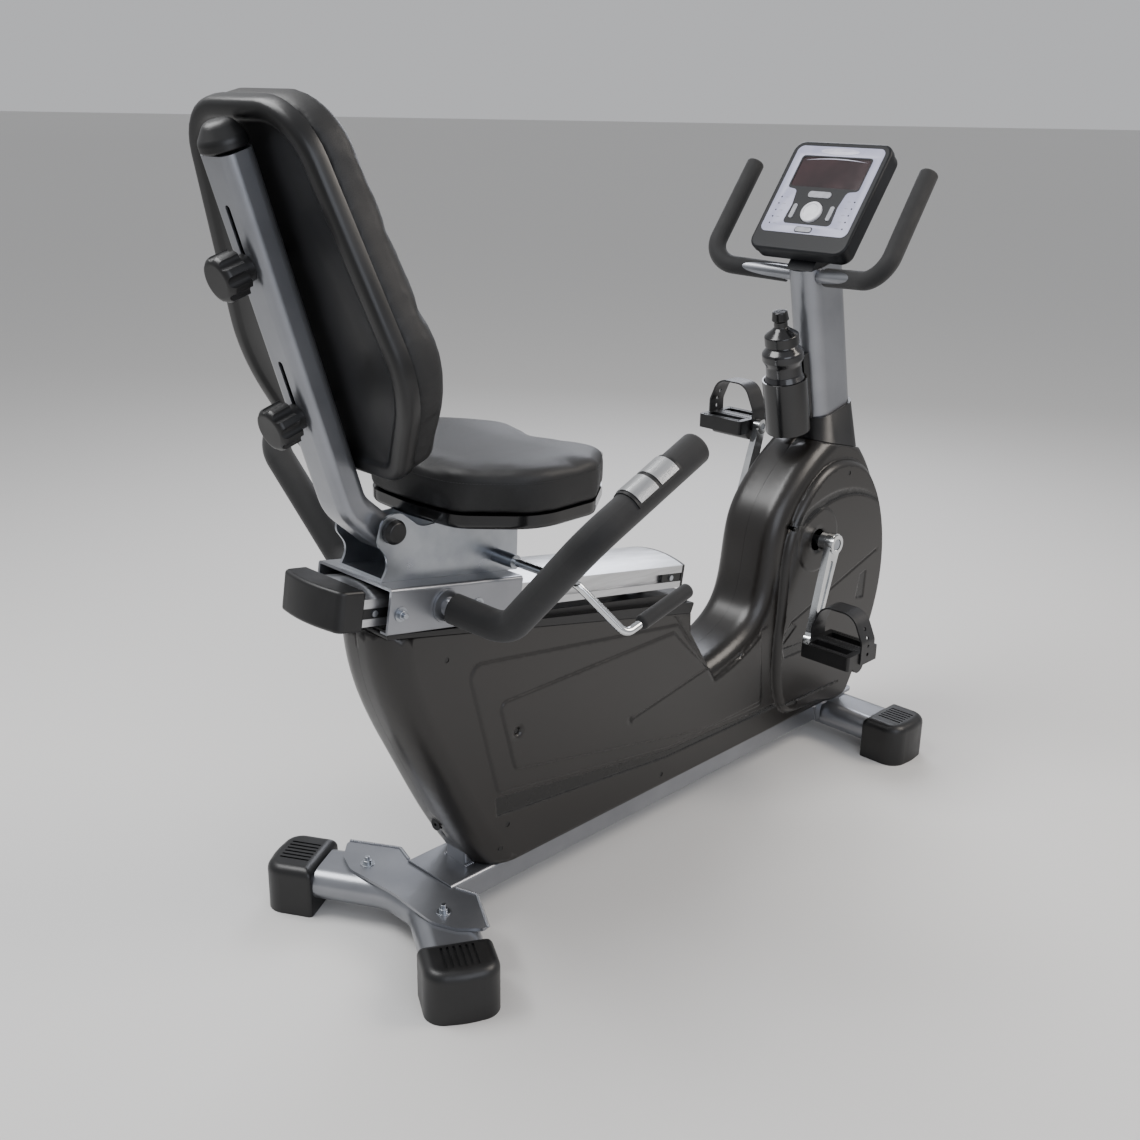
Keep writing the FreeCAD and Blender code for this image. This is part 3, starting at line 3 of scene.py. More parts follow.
import bmesh
import bpy
import numpy as np
from mathutils import Matrix, Vector
from mathutils.bvhtree import BVHTree
from mathutils.geometry import delaunay_2d_cdt
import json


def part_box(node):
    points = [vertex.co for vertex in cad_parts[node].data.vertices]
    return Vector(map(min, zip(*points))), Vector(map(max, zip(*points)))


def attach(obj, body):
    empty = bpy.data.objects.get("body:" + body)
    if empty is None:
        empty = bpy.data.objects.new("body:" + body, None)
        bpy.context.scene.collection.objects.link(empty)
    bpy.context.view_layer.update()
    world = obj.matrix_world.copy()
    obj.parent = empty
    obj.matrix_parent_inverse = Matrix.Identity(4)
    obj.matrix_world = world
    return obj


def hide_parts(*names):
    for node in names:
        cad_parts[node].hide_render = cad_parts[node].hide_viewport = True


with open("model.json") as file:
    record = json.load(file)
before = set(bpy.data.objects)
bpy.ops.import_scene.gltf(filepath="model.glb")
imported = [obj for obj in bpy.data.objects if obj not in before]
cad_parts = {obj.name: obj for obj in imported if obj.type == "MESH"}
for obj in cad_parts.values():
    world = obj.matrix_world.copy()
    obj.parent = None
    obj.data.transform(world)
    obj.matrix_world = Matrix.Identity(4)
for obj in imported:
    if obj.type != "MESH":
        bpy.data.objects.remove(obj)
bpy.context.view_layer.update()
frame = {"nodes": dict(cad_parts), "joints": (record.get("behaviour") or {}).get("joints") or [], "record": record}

# Lengths in the dictionaries are millimetres. X runs forward from the crank axle,
# Y to the rider's left from the middle of the bike, and Z up from the floor.
mm = 0.001
axleLow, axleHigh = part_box("crank_axle")
crankX = (axleLow.x + axleHigh.x) / 2
crankZ = (axleLow.z + axleHigh.z) / 2
joints = {joint["name"]: joint for joint in frame["joints"]}


def place(x, y, z):
    return Vector((crankX + x * mm, y * mm, z * mm))


def jointFrame(name, up=0.0, side=-1):
    # own Z is the joint's axis, own Y points up the face, and own X across it
    out = Vector(joints[name]["axis"]).normalized()
    right = Vector((0, side, 0))
    upward = out.cross(right)
    spot = Vector(joints[name]["pos_m"]) + upward * up * mm
    return Matrix.Translation(spot) @ Matrix((right, upward, out)).transposed().to_4x4()


# ---- small helpers

def newObject(name, mesh):
    made = bpy.data.objects.new(name, mesh)
    bpy.context.scene.collection.objects.link(made)
    return made


def meshObject(name, points, faces, edges=()):
    mesh = bpy.data.meshes.new(name)
    mesh.from_pydata([tuple(point) for point in points], list(edges), faces)
    return newObject(name, mesh)


def tidyMesh(made, turnOut=True, angle=35):
    shape = bmesh.new()
    shape.from_mesh(made.data)
    bmesh.ops.remove_doubles(shape, verts=shape.verts, dist=0.00001)
    if turnOut:
        bmesh.ops.recalc_face_normals(shape, faces=shape.faces)
    shape.to_mesh(made.data)
    shape.free()
    made.data.shade_smooth()
    made.data.set_sharp_from_angle(angle=math.radians(angle))
    return made


def bakedDown(made):
    # the evaluated object as a plain mesh, with no modifier left on it
    bpy.context.view_layer.update()
    evaluated = made.evaluated_get(bpy.context.evaluated_depsgraph_get())
    mesh = bpy.data.meshes.new_from_object(evaluated)
    name = made.name
    materials = list(made.data.materials)
    bpy.data.objects.remove(made)
    plain = newObject(name, mesh)
    plain.name = name
    if not mesh.materials:
        for material in materials:
            mesh.materials.append(material)
    return plain


def settled(made):
    # its place goes into the mesh, and the object stays at the origin
    made.data.transform(made.matrix_basis)
    made.matrix_basis = Matrix.Identity(4)
    return made


def ready(made, body, material, stands=()):
    made.data.materials.clear()
    made.data.materials.append(material)
    if stands:
        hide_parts(*stands)
    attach(made, body)
    return made


def weldedCopy(node, name):
    mesh = frame["nodes"][node].data.copy()
    mesh.materials.clear()
    copy = newObject(name, mesh)
    return tidyMesh(copy, turnOut=False)


def roundedLoop(corners, margin=0.0, steps=8):
    # a closed loop of (u, v, radius) corners, moved inwards by margin
    points = [Vector((u, v)) for u, v, radius in corners]
    count = len(points)
    area = sum(points[i].x * points[(i + 1) % count].y - points[(i + 1) % count].x * points[i].y
               for i in range(count))
    side = 1 if area > 0 else -1
    moved = []
    for i in range(count):
        back = (points[i] - points[i - 1]).normalized()
        onward = (points[(i + 1) % count] - points[i]).normalized()
        inward = [Vector((-line.y, line.x)) * side for line in (back, onward)]
        bisector = (inward[0] + inward[1]) / max(0.05, 1 + inward[0].dot(inward[1]))
        moved.append(points[i] + bisector * margin)
    loop = []
    for i in range(count):
        radius = max(0.3, corners[i][2] - margin)
        back = (moved[i - 1] - moved[i]).normalized()
        onward = (moved[(i + 1) % count] - moved[i]).normalized()
        half = back.angle(onward) / 2
        room = 0.49 * min((moved[i - 1] - moved[i]).length, (moved[(i + 1) % count] - moved[i]).length)
        reach = min(radius / math.tan(half), room)
        radius = reach * math.tan(half)
        centre = moved[i] + (back + onward).normalized() * radius / math.sin(half)
        first = moved[i] + back * reach - centre
        last = moved[i] + onward * reach - centre
        sweep = first.angle_signed(last)
        for k in range(steps + 1):
            turn = -sweep * k / steps
            c, s = math.cos(turn), math.sin(turn)
            loop.append(centre + Vector((first.x * c - first.y * s, first.x * s + first.y * c)))
    return loop


def rectangle(u0, v0, u1, v1, radius):
    return [(u0, v0, radius), (u1, v0, radius), (u1, v1, radius), (u0, v1, radius)]


def circleLoop(u, v, radius, steps=40):
    turns = [2 * math.pi * k / steps for k in range(steps)]
    return [Vector((u + radius * math.cos(turn), v + radius * math.sin(turn))) for turn in turns]


def flatPlate(name, loops, thick, bevel, matrix):
    # a thin plate with holes, its back on the matrix's own XY plane
    curve = bpy.data.curves.new(name, "CURVE")
    curve.dimensions = "2D"
    curve.fill_mode = "BOTH"
    curve.extrude = (thick / 2 - bevel) * mm
    curve.bevel_depth = bevel * mm
    curve.bevel_resolution = 1
    for loop in loops:
        spline = curve.splines.new("POLY")
        spline.points.add(len(loop) - 1)
        for point, spot in zip(spline.points, loop):
            point.co = (spot.x * mm, spot.y * mm, 0, 1)
        spline.use_cyclic_u = True
    made = bakedDown(newObject(name, curve))
    made.matrix_basis = matrix @ Matrix.Translation((0, 0, thick / 2 * mm))
    return tidyMesh(settled(made))


def stackedLoops(name, loops):
    # a closed solid whose skin runs over loops of the same number of points
    count = len(loops[0])
    points = [point for loop in loops for point in loop]
    faces = []
    for level in range(len(loops) - 1):
        for i in range(count):
            a = level * count + i
            b = level * count + (i + 1) % count
            faces.append((a, b, b + count, a + count))
    faces.append(tuple(range(count)))
    faces.append(tuple(len(points) - 1 - i for i in range(count)))
    return tidyMesh(meshObject(name, points, faces))


# ---- camera, floor and light

cameraView = {
    "lens": 42.755,              # mm on a 36 mm wide sensor
    "place": (-1985.8, -1383.8, 1204.0),
    "pitch": 19.67, "heading": 44.27, "roll": 0.97,    # degrees
}


def makeCamera(view):
    heading, pitch, roll = (math.radians(view[key]) for key in ("heading", "pitch", "roll"))
    ahead = Vector((math.cos(heading) * math.cos(pitch), math.sin(heading) * math.cos(pitch),
                    -math.sin(pitch)))
    right = Vector((math.sin(heading), -math.cos(heading), 0))
    up = right.cross(ahead)
    rolledRight = right * math.cos(roll) + up * math.sin(roll)
    rolledUp = up * math.cos(roll) - right * math.sin(roll)
    camera = bpy.data.objects.new("camera", bpy.data.cameras.new("camera"))
    bpy.context.scene.collection.objects.link(camera)
    camera.data.lens = view["lens"]
    camera.data.sensor_width = 36
    camera.data.clip_end = 50
    camera.matrix_world = (Matrix.Translation(place(*view["place"]))
                           @ Matrix((rolledRight, rolledUp, -ahead)).transposed().to_4x4())
    bpy.context.scene.camera = camera


studio = {
    "floorSize": 400000, "floorDark": "c9c8c6", "floorLight": "d6d5d3", "floorRoughness": 0.75,
    "airColour": "d9dadd", "airStrength": 0.8,
    "aim": (-400, 0, 450),
    # place, watts, size in mm, colour
    "lamps": [((-1500, 900, 2700), 74, 1500, "ffffff"),
              ((900, -1700, 2300), 46, 1300, "fff6ec"),
              ((-1400, -2300, 1500), 24, 1700, "eef3ff"),
              ((1500, 1400, 1900), 32, 1200, "f2f5ff")],
}


def linear(code, alpha=1.0):
    # sRGB hex to linear
    parts = [int(code[i:i + 2], 16) / 255 for i in (0, 2, 4)]
    return tuple(c / 12.92 if c <= 0.04045 else ((c + 0.055) / 1.055) ** 2.4 for c in parts) + (alpha,)


def addNode(tree, kind, settings=None, links=None):
    made = tree.nodes.new(kind)
    for key, value in (settings or {}).items():
        if isinstance(key, str) and hasattr(made, key):
            setattr(made, key, value)
        else:
            made.inputs[key].default_value = value
    for key, source in (links or {}).items():
        tree.links.new(source, made.inputs[key])
    return made


def makeStudio(look):
    half = look["floorSize"] / 2 * mm
    floor = meshObject("floor", [(-half, -half, 0), (half, -half, 0), (half, half, 0), (-half, half, 0)],
                       [(0, 1, 2, 3)])
    material = bpy.data.materials.new("paleFloor")
    material.use_nodes = True
    tree = material.node_tree
    shader = tree.nodes["Principled BSDF"]
    cloud = addNode(tree, "ShaderNodeTexNoise", {"Scale": 6.0, "Detail": 6.0})
    tint = addNode(tree, "ShaderNodeMix", {"data_type": "RGBA", 6: linear(look["floorDark"]),
                                           7: linear(look["floorLight"])}, {0: cloud.outputs[0]})
    tree.links.new(tint.outputs[2], shader.inputs["Base Color"])
    shader.inputs["Roughness"].default_value = look["floorRoughness"]
    floor.data.materials.append(material)
    world = bpy.data.worlds.new("air")
    world.use_nodes = True
    world.node_tree.nodes["Background"].inputs[0].default_value = linear(look["airColour"])
    world.node_tree.nodes["Background"].inputs[1].default_value = look["airStrength"]
    bpy.context.scene.world = world
    for i, (spot, watts, width, colour) in enumerate(look["lamps"]):
        lamp = bpy.data.lights.new("lamp%d" % i, "AREA")
        lamp.energy = watts
        lamp.size = width * mm
        lamp.color = linear(colour)[:3]
        holder = bpy.data.objects.new("lamp%d" % i, lamp)
        bpy.context.scene.collection.objects.link(holder)
        holder.location = place(*spot)
        aim = place(*look["aim"]) - holder.location
        holder.rotation_euler = aim.to_track_quat("-Z", "Y").to_euler()


makeCamera(cameraView)
makeStudio(studio)
print("camera, floor and lamps are in place")


# ---- finishes

def startMaterial(name):
    material = bpy.data.materials.new(name)
    material.use_nodes = True
    tree = material.node_tree
    shader = tree.nodes["Principled BSDF"]
    coords = addNode(tree, "ShaderNodeTexCoord").outputs["Object"]
    return material, tree, shader, coords


def patterned(name, look):
    # two tones that drift over the surface, a grain that lifts it, and a roughness that wanders
    material, tree, shader, coords = startMaterial(name)
    spot = addNode(tree, "ShaderNodeMapping", {"Scale": look.get("stretch", (1, 1, 1))},
                   {"Vector": coords}).outputs[0]
    drift = addNode(tree, "ShaderNodeTexNoise", {"Scale": 1 / (look["drift"] * mm), "Detail": 5.0},
                    {"Vector": spot})
    grain = addNode(tree, look.get("grainKind", "ShaderNodeTexNoise"), {"Scale": 1 / (look["grain"] * mm)},
                    {"Vector": spot})
    tone = addNode(tree, "ShaderNodeMapRange", {"From Min": 0.35, "From Max": 0.65},
                   {"Value": drift.outputs[0]})
    tint = addNode(tree, "ShaderNodeMix", {"data_type": "RGBA", 6: linear(look["dark"]),
                                           7: linear(look["light"])}, {0: tone.outputs[0]})
    both = addNode(tree, "ShaderNodeMath", {"operation": "MULTIPLY_ADD", 1: look.get("grainShare", 0.4)},
                   {0: grain.outputs[0], 2: drift.outputs[0]})
    rough = addNode(tree, "ShaderNodeMapRange", {"From Min": 0.3, "From Max": 1.0,
                                                 "To Min": look["smooth"], "To Max": look["rough"]},
                    {"Value": both.outputs[0]})
    lift = addNode(tree, "ShaderNodeBump", {"Strength": look.get("lift", 0.3), "Distance": look["depth"] * mm},
                   {"Height": grain.outputs[0]})
    tree.links.new(tint.outputs[2], shader.inputs["Base Color"])
    tree.links.new(rough.outputs[0], shader.inputs["Roughness"])
    tree.links.new(lift.outputs[0], shader.inputs["Normal"])
    for socket, value in look.get("sockets", {}).items():
        shader.inputs[socket].default_value = value
    return material


# Each look starts from the real finish. drift, grain and depth are millimetres, smooth and
# rough are the two ends of its roughness, and lift is the strength of its bump.
finishes = {
    # steel tube sprayed silver: metal flake under clear lacquer, a soft bright sheen
    "silverPaint": {"dark": "85878c", "light": "909297", "drift": 90, "grain": 0.9, "depth": 0.03,
                    "smooth": 0.3, "rough": 0.38, "lift": 0.12, "grainShare": 0.2,
                    "grainKind": "ShaderNodeTexVoronoi",
                    "sockets": {"Metallic": 0.85, "Coat Weight": 0.35, "Coat Roughness": 0.15}},
    # extruded aluminium, brushed along its length: fine lines drawn 0.8 mm wide so that they show
    "brushedAluminium": {"dark": "bcbdbf", "light": "cfd0d2", "drift": 9, "grain": 0.8, "depth": 0.02,
                         "smooth": 0.28, "rough": 0.4, "lift": 0.15, "stretch": (0.03, 1, 1),
                         "sockets": {"Metallic": 1.0}},
    # zinc-plated steel sheet and fasteners: bluish, slightly mottled
    "zincSteel": {"dark": "9a9ea5", "light": "acb0b5", "drift": 40, "grain": 1.4, "depth": 0.015,
                  "smooth": 0.26, "rough": 0.36, "grainShare": 0.2, "sockets": {"Metallic": 1.0}},
    # chrome plating: nearly a mirror, with faint handling haze
    "chromePlate": {"dark": "c6c8ca", "light": "dcdedf", "drift": 35, "grain": 4.0, "depth": 0.005,
                    "smooth": 0.05, "rough": 0.16, "sockets": {"Metallic": 1.0}},
    # stainless pulse plates, brushed round the grip: fine lines drawn 0.9 mm wide
    "brushedStainless": {"dark": "c9cacb", "light": "dddede", "drift": 12, "grain": 0.9, "depth": 0.01,
                         "smooth": 0.2, "rough": 0.3, "stretch": (0.1, 1, 0.1), "lift": 0.1,
                         "sockets": {"Metallic": 1.0}},
    # machined cast iron: dark grey with open pores
    "castIron": {"dark": "4c4d4f", "light": "6a6b6d", "drift": 12, "grain": 1.6, "depth": 0.15,
                 "smooth": 0.38, "rough": 0.6, "sockets": {"Metallic": 0.9}},
    # moulded ABS covers, brown-black, spark-eroded texture drawn 1.1 mm so that it shows
    "brownBlackAbs": {"dark": "13110f", "light": "181513", "drift": 160, "grain": 1.1, "depth": 0.025,
                      "smooth": 0.27, "rough": 0.36, "lift": 0.2,
                      "sockets": {"Specular IOR Level": 0.55}},
    # painted shade: the same ABS in the covers' recesses, made almost black to stand for the shade that falls in
    # them, and a little smoother
    "recessShadeAbs": {"dark": "060606", "light": "0a0909", "drift": 60, "grain": 2.0, "depth": 0.01,
                  "smooth": 0.2, "rough": 0.32},
    # moulded black nylon and polypropylene: satin, a little chalky
    "mouldedBlack": {"dark": "09090a", "light": "0f0f10", "drift": 30, "grain": 0.9, "depth": 0.04,
                     "smooth": 0.34, "rough": 0.46},
    # polished black ABS, with fine swirls from wiping
    "glossBlack": {"dark": "0b0b0c", "light": "121213", "drift": 50, "grain": 7.0, "depth": 0.005,
                   "smooth": 0.16, "rough": 0.24, "sockets": {"Coat Weight": 0.2, "Coat Roughness": 0.1}},
    # the back panel's blow-moulded polyethylene: black with a satin skin
    "satinBlack": {"dark": "09090a", "light": "0e0e0f", "drift": 45, "grain": 1.0, "depth": 0.02,
                   "smooth": 0.3, "rough": 0.4, "lift": 0.2},
    # charcoal ABS of the console bezel, semi-gloss
    "consoleGrey": {"dark": "17181a", "light": "1c1d20", "drift": 60, "grain": 0.9, "depth": 0.01,
                    "smooth": 0.4, "rough": 0.48, "lift": 0.1, "sockets": {"Specular IOR Level": 0.22}},
    # printed polycarbonate overlay, pale lavender
    "lavenderOverlay": {"dark": "9c9db4", "light": "a6a7bc", "drift": 30, "grain": 0.5, "depth": 0.01,
                        "smooth": 0.3, "rough": 0.42},
    # the same overlay printed pale
    "paleOverlay": {"dark": "b4b3c4", "light": "c4c3d0", "drift": 18, "grain": 0.5, "depth": 0.01,
                    "smooth": 0.28, "rough": 0.4},
    # smoked acrylic window over the display: dark red-brown and glossy
    "smokedScreen": {"dark": "1d0f12", "light": "2e171b", "drift": 55, "grain": 9.0, "depth": 0.004,
                     "smooth": 0.05, "rough": 0.12, "sockets": {"Coat Weight": 0.8, "Coat Roughness": 0.03}},
    # white ABS knob
    "whiteAbs": {"dark": "cdccd2", "light": "dddde2", "drift": 14, "grain": 0.8, "depth": 0.02,
                 "smooth": 0.28, "rough": 0.4},
    # silicone-grey push buttons
    "greyButton": {"dark": "85868c", "light": "999aa0", "drift": 10, "grain": 0.6, "depth": 0.03,
                   "smooth": 0.38, "rough": 0.5},
    # closed-cell foam grip: matte, fine pores drawn 1.3 mm
    "foamGrip": {"dark": "0d0d0e", "light": "141415", "drift": 25, "grain": 1.3, "depth": 0.22,
                 "smooth": 0.66, "rough": 0.85, "lift": 0.5, "sockets": {"Sheen Weight": 0.12}},
    # PVC pedal strap: flexible, semi-matte, with faint length-wise ribs
    "strapPvc": {"dark": "131314", "light": "1d1d1f", "drift": 20, "grain": 1.8, "depth": 0.12,
                 "smooth": 0.34, "rough": 0.5, "stretch": (1, 0.2, 0.2)},
    # squeeze bottle of black polyethylene: waxy and smooth
    "blackPolyethylene": {"dark": "0e0e10", "light": "1b1b1e", "drift": 40, "grain": 3.0, "depth": 0.03,
                          "smooth": 0.14, "rough": 0.26, "sockets": {"Coat Weight": 0.3}},
}
materials = {name: patterned(name, look) for name, look in finishes.items()}


def vinyl(name, look):
    # calendered vinyl upholstery: leather-like pebbles with creases between them
    material, tree, shader, coords = startMaterial(name)
    pebbles = addNode(tree, "ShaderNodeTexVoronoi", {"feature": "DISTANCE_TO_EDGE",
                                                     "Scale": 1 / (look["pebble"] * mm)},
                      {"Vector": coords})
    crease = addNode(tree, "ShaderNodeMapRange", {"From Max": 0.14}, {"Value": pebbles.outputs[0]})
    cloud = addNode(tree, "ShaderNodeTexNoise", {"Scale": 1 / (look["drift"] * mm), "Detail": 4.0},
                    {"Vector": coords})
    tint = addNode(tree, "ShaderNodeMix", {"data_type": "RGBA", 6: linear(look["dark"]),
                                           7: linear(look["light"])}, {0: cloud.outputs[0]})
    # painted shade: the creases between the pebbles are mixed towards the darker crease colour
    shade = addNode(tree, "ShaderNodeMix", {"data_type": "RGBA", 6: linear(look["crease"])},
                    {0: crease.outputs[0], 7: tint.outputs[2]})
    rough = addNode(tree, "ShaderNodeMapRange", {"To Min": look["rough"], "To Max": look["smooth"]},
                    {"Value": crease.outputs[0]})
    lift = addNode(tree, "ShaderNodeBump", {"Strength": 0.35, "Distance": look["depth"] * mm},
                   {"Height": crease.outputs[0]})
    tree.links.new(shade.outputs[2], shader.inputs["Base Color"])
    tree.links.new(rough.outputs[0], shader.inputs["Roughness"])
    tree.links.new(lift.outputs[0], shader.inputs["Normal"])
    return material


# pebbles 1.4 mm across, a little coarser than the real grain so that they show
materials["blackVinyl"] = vinyl("blackVinyl", {
    # crease is the painted shade colour in the creases
    "pebble": 1.4, "drift": 90, "depth": 0.08, "dark": "0d0d0e", "light": "121213", "crease": "070708",
    "smooth": 0.52, "rough": 0.66})

slotFinish = {
    "frame_silver": "silverPaint", "rail_aluminium": "brushedAluminium", "zinc_steel": "zincSteel",
    "chrome": "chromePlate", "sensor_steel": "brushedStainless", "cast_iron": "castIron",
    "shroud_brown": "brownBlackAbs", "moulded_black": "mouldedBlack", "gloss_black": "glossBlack",
    "console_grey": "consoleGrey", "screen_glass": "smokedScreen", "dial_white": "whiteAbs",
    "button_grey": "greyButton", "foam_grip": "foamGrip", "vinyl": "blackVinyl",
    "strap_rubber": "strapPvc",
}
nodeSlot = {entry["node"]: entry["material_slot"] for entry in frame["record"]["subparts"]}
otherFinish = {"bottle_body": "blackPolyethylene", "seat_bracket": "zincSteel"}


def finishNodes():
    for name, node in frame["nodes"].items():
        finish = otherFinish.get(name) or slotFinish[nodeSlot[name]]
        node.data.materials.clear()
        node.data.materials.append(materials[finish])


finishNodes()
print("finishes are on the frame's nodes")


# ---- repeats along a line

def makeRepeatTree():
    # beads of one shape, evenly spaced along a polyline and turned with it
    tree = bpy.data.node_groups.new("repeatAlong", "GeometryNodeTree")
    for name, kind in (("Geometry", "NodeSocketGeometry"), ("Spacing", "NodeSocketFloat"),
                       ("Size", "NodeSocketVector"), ("Finish", "NodeSocketMaterial")):
        tree.interface.new_socket(name=name, in_out="INPUT", socket_type=kind)
    tree.interface.new_socket(name="Geometry", in_out="OUTPUT", socket_type="NodeSocketGeometry")
    given = addNode(tree, "NodeGroupInput").outputs
    line = addNode(tree, "GeometryNodeMeshToCurve", None, {0: given["Geometry"]})
    spaced = addNode(tree, "GeometryNodeResampleCurve", {"mode": "LENGTH"},
                     {"Curve": line.outputs[0], "Length": given["Spacing"]})
    bead = addNode(tree, "GeometryNodeMeshUVSphere", {"Segments": 8, "Rings": 5, "Radius": 0.5})
    along = addNode(tree, "GeometryNodeInputTangent")
    turn = addNode(tree, "FunctionNodeAlignRotationToVector", {"axis": "X"}, {"Vector": along.outputs[0]})
    spread = addNode(tree, "GeometryNodeInstanceOnPoints", None,
                     {"Points": spaced.outputs[0], "Instance": bead.outputs[0],
                      "Rotation": turn.outputs[0], "Scale": given["Size"]})
    real = addNode(tree, "GeometryNodeRealizeInstances", None, {0: spread.outputs[0]})
    painted = addNode(tree, "GeometryNodeSetMaterial", None,
                      {"Geometry": real.outputs[0], "Material": given["Finish"]})
    addNode(tree, "NodeGroupOutput", None, {0: painted.outputs[0]})
    return tree


repeatTree = makeRepeatTree()


def repeatAlong(name, lines, spacing, size, finish):
    # lines are lists of points in metres; a bead is size (along, across, deep) in millimetres
    points, edges = [], []
    for line in lines:
        edges += [(len(points) + i, len(points) + i + 1) for i in range(len(line) - 1)]
        points += line
    made = meshObject(name, points, [], edges)
    modifier = made.modifiers.new("repeat", "NODES")
    modifier.node_group = repeatTree
    socket = {item.name: item.identifier for item in repeatTree.interface.items_tree
              if item.in_out == "INPUT"}
    modifier[socket["Spacing"]] = spacing * mm
    modifier[socket["Size"]] = [value * mm for value in size]
    modifier[socket["Finish"]] = materials[finish]
    made = bakedDown(made)
    made.data.shade_smooth()
    return made


# ---- moulded covers

# Places on the cover's side are (X, Z) in millimetres from the crank axle's line and the floor.
coverLook = {
    "gridStep": 5.0, "edgeFade": 6.0, "edgeGap": 1.6, "pointGap": 1.3,
    "followPitch": 4, "followShifts": (-5, -3, -1.5, 0, 1.5, 3, 5),
    "shadeFrom": 1.2, "outer": 56,         # how deep a recess must be to get painted shade, and only beyond this Y
    "crescentFloor": (440, 10),           # the crescent fades out below this height, over this length
    "panels": [   # corners with radii, how far the panel stands out, width of its sloping edge
        ([(-838, 436, 22), (-372, 371, 6), (-286, 264, 16), (-140, 322, 10), (-120, 140, 10),
          (-384, 146, 60), (-778, 207, 14)], 2.0, 4.5),
        ([(-778, 358, 14), (-384, 361, 6), (-292, 268, 16), (-140, 330, 10), (-126, 150, 10),
          (-296, 148, 60), (-745, 236, 14)], 2.3, 4.5),
    ],
    "recesses": [
        ([(-782, 203, 4), (-384, 143, 60), (110, 124, 2), (110, 119, 2), (-384, 127, 60),
          (-779, 168, 4)], -2.1, 3.0),
        ([(176, 337, 3), (153, 333, 3), (143, 284, 3), (173, 279, 3)], -1.7, 3),
        ([(-90, 247, 3), (16, 240, 3), (13, 220, 3), (-78, 223, 3)], -1.7, 3),
        ([(-60, 291, 2), (-94, 265, 3), (-87, 250, 3), (-44, 279, 2)], -1.5, 3),
    ],
    "grooves": [   # a line, its half width and depth
        ([(-487, 234), (-120, 296)], 1.6, 1.5),
        ([(-377, 386), (-284, 263)], 1.8, 1.6),
        ([(204, 371), (-62, 292), (-94, 262), (-86, 226)], 1.8, 1.5),
    ],
    "dots": [((-487, 234), 4.0, -1.8)],
    "boss": (61, 1.8, 4),                 # the round cover about the axle: radius, height, edge
    "crescent": ((59, 268, 251), (72, 262, 238), -1.8, 5),
}


def easedStep(value):
    value = np.clip(value, 0, 1)
    return value * value * (3 - 2 * value)


def lineDistance(spots, line, closed=False):
    ends = line[1:] + ([line[0]] if closed else [])
    best = np.full(len(spots), 1e9)
    for start, end in zip(line, ends):
        a, b = np.array(start, float), np.array(end, float)
        share = np.clip(((spots - a) @ (b - a)) / max(1e-9, (b - a) @ (b - a)), 0, 1)
        best = np.minimum(best, np.linalg.norm(spots - a - share[:, None] * (b - a), axis=1))
    return best


def insideDistance(spots, loop):
    # distance to the loop, positive inside it
    inside = np.zeros(len(spots), bool)
    x, y = spots[:, 0], spots[:, 1]
    for (ax, ay), (bx, by) in zip(loop, loop[1:] + loop[:1]):
        if ay != by:
            crossing = (ay > y) != (by > y)
            inside ^= crossing & (x < (bx - ax) * (y - ay) / (by - ay) + ax)
    gap = lineDistance(spots, loop, closed=True)
    return np.where(inside, gap, -gap)


def coverHeight(spots, look):
    height = np.zeros(len(spots))
    for corners, rise, edge in look["panels"] + look["recesses"]:
        gap = insideDistance(spots, [tuple(point) for point in roundedLoop(corners)])
        height += rise * easedStep(gap / edge)
    for line, half, depth in look["grooves"]:
        height -= depth * (1 - easedStep((lineDistance(spots, line) - half * 0.4) / half))
    for spot, radius, rise in look["dots"]:
        height += rise * (1 - easedStep((np.linalg.norm(spots - spot, axis=1) - radius) / 2))
    axle = np.linalg.norm(spots - (0, crankZ / mm), axis=1)
    radius, rise, edge = look["boss"]
    height += rise * easedStep((radius - axle) / edge)
    (ox, oz, outer), (ix, iz, inner), depth, edge = look["crescent"]
    outside = outer - np.linalg.norm(spots - (ox, oz), axis=1)
    within = np.linalg.norm(spots - (ix, iz), axis=1) - inner
    above = (spots[:, 1] - look["crescentFloor"][0]) / look["crescentFloor"][1]
    height += depth * easedStep(np.minimum(np.minimum(outside, within), above) / edge)
    return height


def followingPoints(look):
    # extra points beside every line of relief, so that its slopes stay crisp
    lines = [[tuple(point) for point in roundedLoop(area[0])] for area in look["panels"] + look["recesses"]]
    lines = [line + line[:1] for line in lines] + [groove[0] for groove in look["grooves"]]
    axle = (0, crankZ / mm)
    rings = [(axle, look["boss"][0])] + [((x, z), radius) for x, z, radius in look["crescent"][:2]]
    lines += [[tuple(point) for point in circleLoop(*spot, radius, 160)] for spot, radius in rings]
    found = []
    for line in lines:
        for a, b in zip(line, line[1:]):
            a, b = np.array(a, float), np.array(b, float)
            length = np.linalg.norm(b - a)
            if length < 0.01:
                continue
            across = np.array((-(b - a)[1], (b - a)[0])) / length
            steps = max(1, int(length / look["followPitch"]))
            for k in range(steps):
                spot = a + (b - a) * (k + 0.5) / steps
                found += [spot + across * shift for shift in look["followShifts"]]
    return found


def dressedCover(node, side, look):
    # the cover's flat faces are meshed finely and pressed into relief
    made = weldedCopy(node, node + "_moulding")
    shape = bmesh.new()
    shape.from_mesh(made.data)
    shape.faces.ensure_lookup_table()
    farthest = max(abs(vert.co.y) for vert in shape.verts)
    extra = followingPoints(look)
    for level in (farthest, None):
        if level is None:
            left = [abs(f.calc_center_median().y) for f in shape.faces
                    if f.normal.y * side > 0.9999 and abs(f.calc_center_median().y) < farthest - 3 * mm
                    and f.calc_area() > 0.0004]
            level = max(left)
        flat = [f for f in shape.faces if f.normal.y * side > 0.9999
                and all(abs(abs(v.co.y) - level) < 0.00005 for v in f.verts)]
        pressFlat(shape, flat, level * side, side, extra, look)
    shape.to_mesh(made.data)
    shape.free()
    made.data.shade_smooth()
    made.data.set_sharp_from_angle(angle=math.radians(40))
    return made


